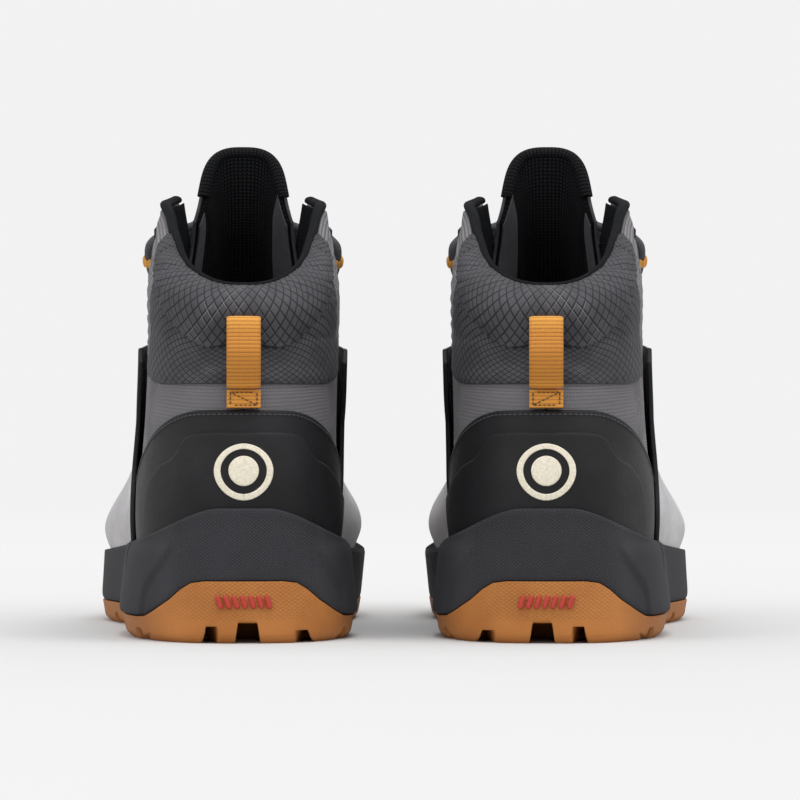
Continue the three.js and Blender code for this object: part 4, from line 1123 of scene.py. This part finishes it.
def rubber_finish():
    """Gum rubber: matt, faintly mottled and knurled with small diamonds on the back."""
    gum = Finish("gum_rubber", roughness=0.62, specular_ior_level=0.3)
    x, y, z, place = gum.place()
    across = (x.size() - HEEL_SPACING / 2).size()
    u, v = (x.size() - HEEL_SPACING / 2) * (1 / 2.1), z * (1 / 1.5)
    diamond = ((u + v) * np.pi).sine().size().at_most(((u - v) * np.pi).sine().size())
    back = (1.0 - gum.step(across, 20.0, 32.0)) * (1.0 - gum.step(y, -135.0, -120.0)) * gum.step(z, 8.0, 10.0)
    grain = gum.noise(place, 0.9, 4.0, 0.65)
    patch = gum.noise(place, 0.045, 3.0)
    shade = gum.blend(gum.step(patch, 0.3, 0.7), tint(172, 108, 50), tint(186, 120, 60))
    # Painted shade: the gum is darker towards the sides of each boot.
    shade = gum.blend(gum.step(across, 26.0, 42.0) * 0.75, shade, tint(150, 94, 46))
    gum.set(base_color=gum.blend(grain * 0.18, shade, tint(122, 74, 36)))
    gum.set(roughness=0.55 + grain * 0.2)
    gum.raised(diamond * back * 0.22 + grain * 0.12)
    return gum.material


GUM = rubber_finish()
fit("outsole_rubber", outsole_part(), GUM, "outsole")


def mark_parts():
    """Seven slanted rounded bars, moulded of red rubber, set in the back of the outsole."""
    parts = []
    face = sole_line(np.array([0.0]), sole_edge(np.array([0.0])) - 0.42, 15.5)[0, 1]
    for number in range(7):
        middle = (number - 3) * 3.05
        turn = np.linspace(-1, 1, 9)[:, None]
        path = np.array([middle, face + 0.02, 15.5]) + turn * np.array([0.85, 0, 2.45])
        narrowed = 1.08 * (1 - np.abs(turn[:, 0]) ** 6 * 0.5)
        parts.append(swept(path, np.array([0, -1.0, 0]), narrowed, 0.8, 12, 2.4))
    return gathered(parts)


def red_finish():
    """Red rubber inlay, a little glossier than the gum round it."""
    red = Finish("red_rubber", roughness=0.45)
    *_, place = red.place()
    grain = red.noise(place, 1.2, 3.0)
    red.set(base_color=red.blend(grain, tint(160, 40, 28), tint(184, 56, 40)))
    red.raised(grain * 0.06)
    return red.material


fit("outsole_bars", mark_parts(), red_finish(), "outsole_mark")

# ---------------------------------------------------------------- the side wings, toe cap and eyestays
# Smooth synthetic sheets bonded and stitched over the weave: a lilac-grey wing on each side with a black
# rolled rear edge, a black cap over the toes and a black stay along each edge of the throat.
WING = film_finish("wing_film", (160, 158, 160), (198, 196, 198), 0.45)
WING_TOP = 0.7


def wing_rear(level):
    return mix(0.62, 0.47, np.clip(level * 2.2, 0, 1)) + np.maximum(0, level - 0.66) * 1.5


def wing_front(level):
    return mix(0.985, 0.86, smoothstep(0.36, THROAT_LEVEL, level))


def wing(side, rear, front, inner, outer, count):
    """A part of a wing between two lines up the boot, each given by its level."""

    def place(column, row):
        foot = mix(wing_rear(0.1), wing_front(0.1), column)
        level = mix(rim_level(foot * quarter_edge(0.1)) - 0.022, WING_TOP, row)
        return at_round(side * mix(rear(level), front(level), column), level)

    return panel(eased(0, 1, count)[::side], eased(0, 1, 90), place, inner, outer, 0.9, 0.3)


def wing_strip(level):
    return wing_rear(level) + 0.03


def wing_lip(level):
    return wing_rear(level) - 0.004


for side, word in ((1, "outer"), (-1, "inner")):
    wing_sheet = wing(side, wing_rear, wing_front, 1.9, 3.1, 90)
    fit(f"wing_sheet_{word}", wing_sheet, WING, f"side_wing_{word}")
    fit(f"wing_edge_{word}", wing(side, wing_lip, wing_strip, 1.8, 3.7, 12), FILM)
    stay_columns = eased(0.87, 0.99, 24) if side > 0 else eased(-0.99, -0.87, 24)
    stay = panel(stay_columns, eased(0.464, 0.925, 110), at_round, 0.9, 2.7, 1.0, 0.3)
    fit(f"stay_{word}", stay, FILM, f"eyestay_{word}")


def cap_place(column, row):
    low = rim_level(np.pi) - 0.02
    level = mix(low, 0.25 - 0.09 * np.abs(3 * column - 1.5) ** 3, row)
    return across_vamp(4 * SEAM)(column, level)


toe_cap = panel(eased(2 / 12, 10 / 12, 100), eased(0, 1, 50), cap_place, 0.9, 2.7, 1.2, 0.3)
fit("toe_cap_film", toe_cap, FILM, "toe_cap")

# ---------------------------------------------------------------- the tongue
# A padded tongue in grey fabric, sewn to the vamp at its foot. Its inside is brushed black knit in two
# raised pads with a channel between them, rolled over the top rim, and the side edges are wrapped in fabric.
TONGUE_FOOT, TONGUE_ARCH, TONGUE_OVERLAP = 0.40, 0.08, 7
TONGUE_THICKNESS, TONGUE_EDGE = 6, 3.4


def tongue_edge(level):
    overlap = TONGUE_OVERLAP * (smoothstep(0.38, 0.5, level) - smoothstep(0.8, 0.93, level))
    return angle_at_width(level, throat_half(level) + overlap)


def tongue_place(column, row):
    level = mix(TONGUE_FOOT, 1 - TONGUE_ARCH * np.abs(2 * column - 1) ** 3, row)
    edge = tongue_edge(level)
    return mix(edge, 2 * np.pi - edge, column), level


def tongue_out(column, row):
    angle, level = tongue_place(column, row)
    middle = 1 - smoothstep(0.35, 0.95, half_width(angle, level) / throat_half(level))
    return -LINING_DEPTH - LINING - 1 + 5.8 * middle * smoothstep(THROAT_LEVEL, THROAT_LEVEL + 0.08, level)


def tongue_depth(column):
    return mix(TONGUE_THICKNESS, TONGUE_EDGE, (2 * column - 1) ** 2)


def tongue_inside(column, row):
    """The lining's face: two pads that stand out towards the ankle, and a channel that narrows downwards."""
    off = np.abs(2 * column - 1)
    channel = 0.16 + 0.2 * row
    pads = smoothstep(channel - 0.12, channel + 0.1, off) * (1 - smoothstep(0.78, 0.95, off))
    ends = smoothstep(0.3, 0.45, row) * (1 - smoothstep(0.93, 1.0, row))
    return tongue_out(column, row) - tongue_depth(column) - 1.6 * pads * ends


def twill_finish():
    """Fine grey twill: slanting ribs half a millimetre apart."""
    twill = Finish("tongue_twill", roughness=0.85)
    u, v, _, place = twill.place("UV")
    rib = ((u + v) * (np.pi / 0.55)).sine().size()
    haze = twill.noise(place, 0.3, 3.0)
    ground = twill.blend(haze, tint(58, 57, 62), tint(80, 79, 84))
    twill.set(base_color=twill.blend(rib * 0.4, ground, tint(46, 45, 50)))
    twill.raised(rib * 0.1 + haze * 0.1)
    return twill.material


TWILL = twill_finish()
FUZZ = knit_finish("tongue_fuzz", (5, 5, 6), (34, 35, 38), 1.5)
face = panel(
    eased(0, 1, 80), eased(0, 1, 90), tongue_place, lambda c, r: tongue_out(c, r) - 0.45 * tongue_depth(c),
    tongue_out, 1.5, 0.3,
)
fit("tongue_face", face, TWILL, "tongue", "tongue")
back = panel(
    eased(0.005, 0.995, 100), eased(0.005, 0.995, 110), tongue_place, tongue_inside,
    lambda c, r: tongue_out(c, r) - 0.45 * tongue_depth(c) - 0.05, 0.4, 0.5,
)
fit("tongue_lining", back, FUZZ, body="tongue")


def inside_strip(low, high):
    """A flat strip on the lining's face, from one share of the tongue's width to another."""
    return panel(
        eased(low, high, 16), eased(0.25, 0.992, 90), tongue_place, lambda c, r: tongue_inside(c, r) - 0.7,
        lambda c, r: tongue_inside(c, r) + 0.2, 0.3, 0.5,
    )


wrap = gathered([inside_strip(0.0, 0.045), inside_strip(0.885, 1.0)])
fit("tongue_wrap", wrap, TWILL, body="tongue")
roll = np.linspace(0.1, 0.9, 140)
roll_angle, roll_level = tongue_place(roll, np.ones_like(roll))
roll_out = tongue_out(roll, np.ones_like(roll)) - tongue_depth(roll) * 0.5
roll_line = off_upper(roll_angle, roll_level - 0.004, roll_out)
roll_part = swept(roll_line, facing_out(roll_angle, roll_level), 2.2, tongue_depth(roll) * 0.5 + 0.5, 16, 2.2)
fit("tongue_roll", roll_part, FUZZ, body="tongue")

# ---------------------------------------------------------------- the lace keepers and hooks
# A webbing band is stitched along each eyestay and folded up into five loops for the lace. Over them sits a
# hook: a short dark plate with an orange loop.
KEEPER_ROUND, KEEPER_SEAT, KEEPER_BAND = 0.93, 3.6, 1.0
KEEPER_LEVELS = (0.5, 0.57, 0.64, 0.71, 0.78)
HOOK_LEVEL = 0.85
LACE_RADIUS = 2.0


def webbing_finish(name, low, middle, high, z_low=96.0, z_high=121.0):
    """Woven ribbon: ribs 1.5 mm apart across it, fine threads along it, and painted light that changes with
    height:
    a lit foot, painted shade along the middle and a painted highlight over the top."""
    ribbon = Finish(name, roughness=0.8)
    u, v, _, place = ribbon.place("UV")
    _, _, z, _ = ribbon.place()
    rib = (u * (np.pi / 1.5)).sine().size() ** 0.5
    thread = (v * (2 * np.pi / 0.5)).sine() * 0.5 + 0.5
    fuzz = ribbon.noise(place, 2.2, 3.0, 0.7)
    # Painted light by height: the lit colour below z_low, painted shade above it, and a painted highlight from
    # z_high - 6 up.
    shade = ribbon.blend(ribbon.step(z, z_low, z_low + 3.0), tint(*low), tint(*middle))
    shade = ribbon.blend(ribbon.step(z, z_high - 6.0, z_high), shade, tint(*high))
    dark = ribbon.blend(0.45, shade, (0.05, 0.03, 0.02, 1))
    cover = ribbon.step(rib * 0.75 + thread * 0.15 + fuzz * 0.3, 0.2, 0.85)
    ribbon.set(base_color=ribbon.blend(cover, dark, shade))
    ribbon.raised(rib * 0.3 + thread * 0.05 + fuzz * 0.1)
    return ribbon.material


# One orange dye under painted light: lit at the stitched foot, in painted shade along the middle, with a
# painted highlight at the top. The hook loops sit higher, so they take the highlight colour all over.
ORANGE = webbing_finish("orange_webbing", (200, 134, 48), (186, 120, 38), (206, 142, 54))
DARK_WEBBING = webbing_finish("dark_webbing", (48, 48, 52), (48, 48, 52), (48, 48, 52))


def keeper_angle(level, side):
    return side * KEEPER_ROUND * quarter_edge(level)


def keeper_band(side, spread, low, high):
    columns = eased(KEEPER_ROUND - spread, KEEPER_ROUND + spread, 20)
    columns = columns if side > 0 else -columns[::-1]
    return panel(columns, eased(low, high, 90), at_round, KEEPER_SEAT, KEEPER_SEAT + KEEPER_BAND, 0.4, 0.4)


def seat(angle, level, out):
    """A place off the upper with its own directions: across the boot, outwards and up."""
    angle, level = np.float64(angle), np.float64(level)
    _, up, normal = facing(angle, level)
    return off_upper(angle, level, out), unit(np.cross(normal, up)), normal, up


def loop_of_webbing(side, level, half, top, wall, length):
    """A ribbon bent into an arch over the lace, with its two feet in the band."""
    middle, across, normal, _ = seat(keeper_angle(level, side), level, KEEPER_SEAT + 0.5)
    turn = np.linspace(0, np.pi, 33)
    sway = np.sign(np.cos(turn)) * np.abs(np.cos(turn)) ** 0.55 * half
    rise = np.sin(turn) ** 0.55 * top
    path = middle + sway[:, None] * across + rise[:, None] * normal
    radial = unit(np.cos(turn)[:, None] * across + np.sin(turn)[:, None] * normal)
    return swept(path, radial, length / 2, wall / 2, 12, 3.0)


for side, word in ((1, "outer"), (-1, "inner")):
    loops = [loop_of_webbing(side, level, 3.3, 7.1, 1.1, 5.2) for level in KEEPER_LEVELS]
    band = keeper_band(side, 0.046, KEEPER_LEVELS[0] - 0.025, KEEPER_LEVELS[-1] + 0.02)
    fit(f"keeper_{word}", gathered([band, *loops]), DARK_WEBBING, f"lace_keepers_{word}")
    plate = keeper_band(side, 0.052, HOOK_LEVEL - 0.028, HOOK_LEVEL + 0.028)
    fit(f"hook_plate_{word}", plate, DARK_WEBBING, f"lace_hook_{word}")
    fit(f"hook_loop_{word}", loop_of_webbing(side, HOOK_LEVEL, 3.5, 7.3, 1.5, 4.2), ORANGE)

# ---------------------------------------------------------------- the lace
# One round braided lace runs through the keepers of both sides, crosses over the tongue between them and is
# tied in a bow at the top. The bow's two loops and two ends hang free, and the ends carry plastic tips.
LACE_OUT = 8.0
LEAD_LIFT = 0.3
UNDER_STRAND, OVER_STRAND = 2.4, 7.2
KNOT_LEVEL, KNOT_OUT = 0.9, 9
STRAND_RISE = 0.021
LEAD = 7.1
LACE_LEVELS = (*KEEPER_LEVELS, HOOK_LEVEL)
span = on_upper(keeper_angle(0.5, 1), 0.5) - on_upper(keeper_angle(0.75, 1), 0.75)
LEAD_LEVEL = LEAD * 0.25 / np.linalg.norm(span)


def through_keeper(row, side):
    middle, _, _, up = seat(keeper_angle(LACE_LEVELS[row], side), LACE_LEVELS[row], LACE_OUT + LEAD_LIFT)
    return [middle + up * LEAD, middle - up * LEAD]


def crossing(side, start, end, middle_out):
    """Points of a strand that crosses the tongue and climbs a little on its way."""
    points = []
    for share in (0.09, 0.22, 0.4, 0.6, 0.78, 0.91):
        reach = 1 - 2 * share
        level = mix(start, end, share) + STRAND_RISE * (1 - reach * reach)
        angle = side * np.sign(reach) * mix(np.pi, keeper_angle(level, 1), abs(reach))
        out = mix(middle_out, LACE_OUT + 2 * LEAD_LIFT, smoothstep(0.05, 0.95, abs(reach)))
        points.append(off_upper(angle, level, out))
    return points


def lace_side(side, middle_out):
    top = LACE_LEVELS[-1] + LEAD_LEVEL
    start = side * mix(np.pi, keeper_angle(top, 1), 0.55)
    route = [off_upper(np.pi, KNOT_LEVEL, KNOT_OUT), off_upper(start, mix(KNOT_LEVEL, top, 0.7), LACE_OUT + 2)]
    for row in range(len(LACE_LEVELS) - 1, 0, -1):
        route += through_keeper(row, side)
        route += crossing(side, LACE_LEVELS[row] - LEAD_LEVEL, LACE_LEVELS[row - 1] + LEAD_LEVEL, middle_out)
        side = -side
    return route + through_keeper(0, side), side


def smooth_line(points, step=0.8):
    """A smooth line through points, with a point about every step millimetres."""
    points = np.array(points)
    run = np.concatenate([[0], np.cumsum(np.linalg.norm(np.diff(points, axis=0), axis=1))])
    t = np.linspace(0, run[-1], int(run[-1] / step) + 1)
    return np.stack([through(run, points[:, axis], t) for axis in range(3)], 1)


def round_cord(path, radius=LACE_RADIUS, sides=12):
    """A round tube along a line, its section carried on without twisting."""
    along = unit(np.gradient(path, axis=0))
    normals, side = [], np.array([0.9, 0.3, 0.2])
    for step in along:
        side = unit(side - step * (side @ step))
        normals.append(side)
    return swept(path, np.array(normals), radius, radius, sides)


def lace_finish():
    """Round polyester braid: two sets of slanting strands, with a faint fleck."""
    braid = Finish("lace_braid", roughness=0.8)
    u, v, _, place = braid.place("UV")
    first, second = ((u + v) * (np.pi / 1.0)).sine().size(), ((u - v) * (np.pi / 1.0)).sine().size()
    strand = first.at_least(second)
    fleck = braid.noise(place, 1.6, 2.0)
    braid.set(base_color=braid.blend(strand * 0.7 + fleck * 0.3, tint(26, 26, 29), tint(74, 75, 80)))
    braid.raised(strand * 0.3 + fleck * 0.08)
    return braid.material


LACE = lace_finish()
first_route, first_end = lace_side(1, UNDER_STRAND)
second_route, _ = lace_side(-1, OVER_STRAND)
foot_level = LACE_LEVELS[0] - LEAD_LEVEL - 0.012
turn_route = [first_route[-1], *crossing(first_end, foot_level, foot_level, UNDER_STRAND), second_route[-1]]
knot_middle, knot_across, knot_normal, knot_up = seat(np.pi, KNOT_LEVEL, KNOT_OUT)
KNOT_AXES = np.stack([knot_across, knot_normal, knot_up])


def by_knot(points, side):
    return knot_middle + (np.array(points, float) * (side, 1, 1)) @ KNOT_AXES


wrap_turn = np.linspace(0, 2 * np.pi * 3, 200)
wrap_across = 4.4 * (wrap_turn / wrap_turn[-1] - 0.5)
wrap_points = np.stack([wrap_across, 2.6 * np.cos(wrap_turn), 2.8 * np.sin(wrap_turn)], 1)
knot_parts = [round_cord(by_knot(wrap_points, 1), 1.9)]
laced = [round_cord(smooth_line(r)) for r in (first_route, second_route, turn_route)]
fit("lace_run", gathered([*laced, *knot_parts]), LACE, "lace")
BOW_LOOP = (
    (5, 1.4, 1.8), (9, 2.6, 1.6), (15, 4, -2), (22, 5, -9), (24, 5, -19),
    (19, 4.5, -25), (13, 4, -20), (8, 3, -11), (4.5, 2.2, -4.6),
)
BOW_END = ((1.5, 4.0, -3.5), (3, 5.5, -9), (6, 8.5, -20), (8, 9, -34), (9, 9, -48), (9.5, 9, -56))


def tip_finish():
    """Clear-coated dark plastic film rolled tight round the lace's end."""
    tip = Finish("lace_tip", roughness=0.3, coat_weight=0.3)
    *_, place = tip.place()
    grain = tip.noise(place, 2.0, 2.0)
    tip.set(base_color=tip.blend(grain, tint(18, 18, 20), tint(30, 30, 33)))
    tip.raised(grain * 0.03)
    return tip.material


TIP = tip_finish()
for way, word in ((1, "first"), (-1, "second")):
    loop_line = smooth_line(by_knot(BOW_LOOP, way))
    for piece, (_, side) in zip(fit(f"bow_loop_{word}", round_cord(loop_line), LACE), SIDES):
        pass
    end_line = smooth_line(by_knot(BOW_END, way))
    tip_line = end_line[-1] + np.linspace(-0.5, 13, 12)[:, None] * unit(end_line[-1] - end_line[-2])
    tips = fit(f"lace_tip_{word}", round_cord(tip_line, 2.15), TIP)
    for piece, tip, (_, side) in zip(fit(f"bow_end_{word}", round_cord(end_line), LACE), tips, SIDES):
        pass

# ---------------------------------------------------------------- the pull tab
# Orange ribbed webbing: the foot is two layers stitched flat to the heel with a boxed row of thread, and the
# loop above it stands a finger's width off the collar and swings on its stitching.
TAB_HALF = 6.35
TAB_FACE = on_upper(0.0, BACK_PANEL_LEVEL)[1] - 2.2
LOOP_STOPS = (
    (TAB_FACE - 0.75, 108), (TAB_FACE - 0.75, 116), (TAB_FACE - 0.8, 120), (TAB_FACE - 1.6, 121.3),
    (TAB_FACE - 4.6, 121.3), (TAB_FACE - 6.3, 120.2), (TAB_FACE - 8.2, 114), (TAB_FACE - 9.6, 108.5),
    (TAB_FACE - 8.2, 102.5), (TAB_FACE - 5.2, 97.2), (TAB_FACE - 3.6, 95.8), (TAB_FACE - 1.6, 95.7),
    (TAB_FACE - 0.8, 97), (TAB_FACE - 0.75, 101),
)


def closed_line(stops, count):
    """A smooth closed line through (y, z) stops in the plane down the middle of the heel."""
    stops = np.array(stops)
    looped = np.concatenate([stops[-3:], stops, stops[:3]])
    t = 3 + np.arange(count) * len(stops) / count
    y, z = [through(np.arange(len(looped)), looped[:, axis], t) for axis in range(2)]
    return np.stack([0 * y, y, z], 1)


loop_path = closed_line(LOOP_STOPS, 150)
outwards = unit(np.cross(np.roll(loop_path, -1, 0) - np.roll(loop_path, 1, 0), [1.0, 0, 0]))
fit("tab_loop", swept(loop_path, outwards, TAB_HALF, 0.62, 16, 4.0, True), ORANGE, "pull_tab", "tab")
foot_z = np.linspace(87.7, 94.5, 30)
foot_y = np.array([off_upper(0.0, 0.49 + (z - 88) / 92, 0.6)[1] for z in foot_z])
foot_parts = [
    swept(np.stack([0 * foot_z, foot_y - lift, foot_z], 1), np.array([0, -1.0, 0]), TAB_HALF, 0.68, 16, 4.0)
    for lift in (0.75, 2.2)
]
fit("tab_foot", gathered(foot_parts), ORANGE, "pull_tab_foot")


def stitch_row(path, normal, pitch=2.1, long=1.5, thick=0.28):
    """A row of short rounded stitches along a line, one every pitch millimetres."""
    run = np.concatenate([[0], np.cumsum(np.linalg.norm(np.diff(path, axis=0), axis=1))])
    parts = []
    for start in np.arange(0.3, run[-1] - long, pitch):
        t = np.linspace(start, start + long, 7)
        points = np.stack([np.interp(t, run, path[:, axis]) for axis in range(3)], 1)
        near = np.interp(start, run, np.arange(len(run))).astype(int)
        way = normal[near] if normal.ndim > 1 else normal
        arch = np.sin(np.linspace(0.25, np.pi - 0.25, 7))
        parts.append(swept(points + way * (arch * 0.14)[:, None], way, thick * arch**0.5, thick * arch**0.5, 8))
    return parts


def thread_finish(name, colour):
    """Twisted sewing thread."""
    thread = Finish(name, roughness=0.6)
    u, v, _, place = thread.place("UV")
    ply = ((u + v) * (np.pi / 0.35)).sine().size()
    thread.set(base_color=thread.blend(ply * 0.5, tint(*colour), (0.02, 0.02, 0.02, 1)))
    thread.raised(ply * 0.04 + thread.noise(place, 3.0) * 0.03)
    return thread.material


corners = [(-5, 88.8), (5, 88.8), (5, 93.6), (-5, 93.6), (-5, 88.8), (5, 93.6)]
box_parts = []
for (x0, z0), (x1, z1) in zip(corners[:-1], corners[1:]):
    t = np.linspace(0, 1, 12)
    z = mix(z0, z1, t)
    line = np.stack([mix(x0, x1, t), np.interp(z, foot_z, foot_y) - 2.9, z], 1)
    box_parts += stitch_row(line, np.array([0, -1.0, 0]), 1.7, 1.25, 0.24)
fit("tab_stitches", gathered(box_parts), thread_finish("orange_thread", (96, 60, 26)))

# ---------------------------------------------------------------- the sewing thread of the upper
# Dark thread in single rows along the wings' rear edges, the eyestays and the cup's top edge.
DARK_THREAD = thread_finish("dark_thread", (70, 70, 74))


def sewn_line(share, level, out):
    """A line on the upper and its outward directions."""
    angle, level = at_round(share, level)
    return off_upper(angle, level, out), facing_out(angle, level)


rows = []
cup_share = np.linspace(-0.5, 0.5, 200)
rows += stitch_row(*sewn_line(cup_share, cup_top(cup_share) - 0.018, CUP_OUTER + 0.02))
for side in (1, -1):
    up = np.linspace(0.2, 0.69, 160)
    rows += stitch_row(*sewn_line(side * (wing_strip(up) + 0.012), up, 3.12))
    stay_up = np.linspace(0.475, 0.915, 200)
    rows += stitch_row(*sewn_line(np.full(200, side * 0.88), stay_up, 2.72))
fit("sewing_thread", gathered(rows), DARK_THREAD)
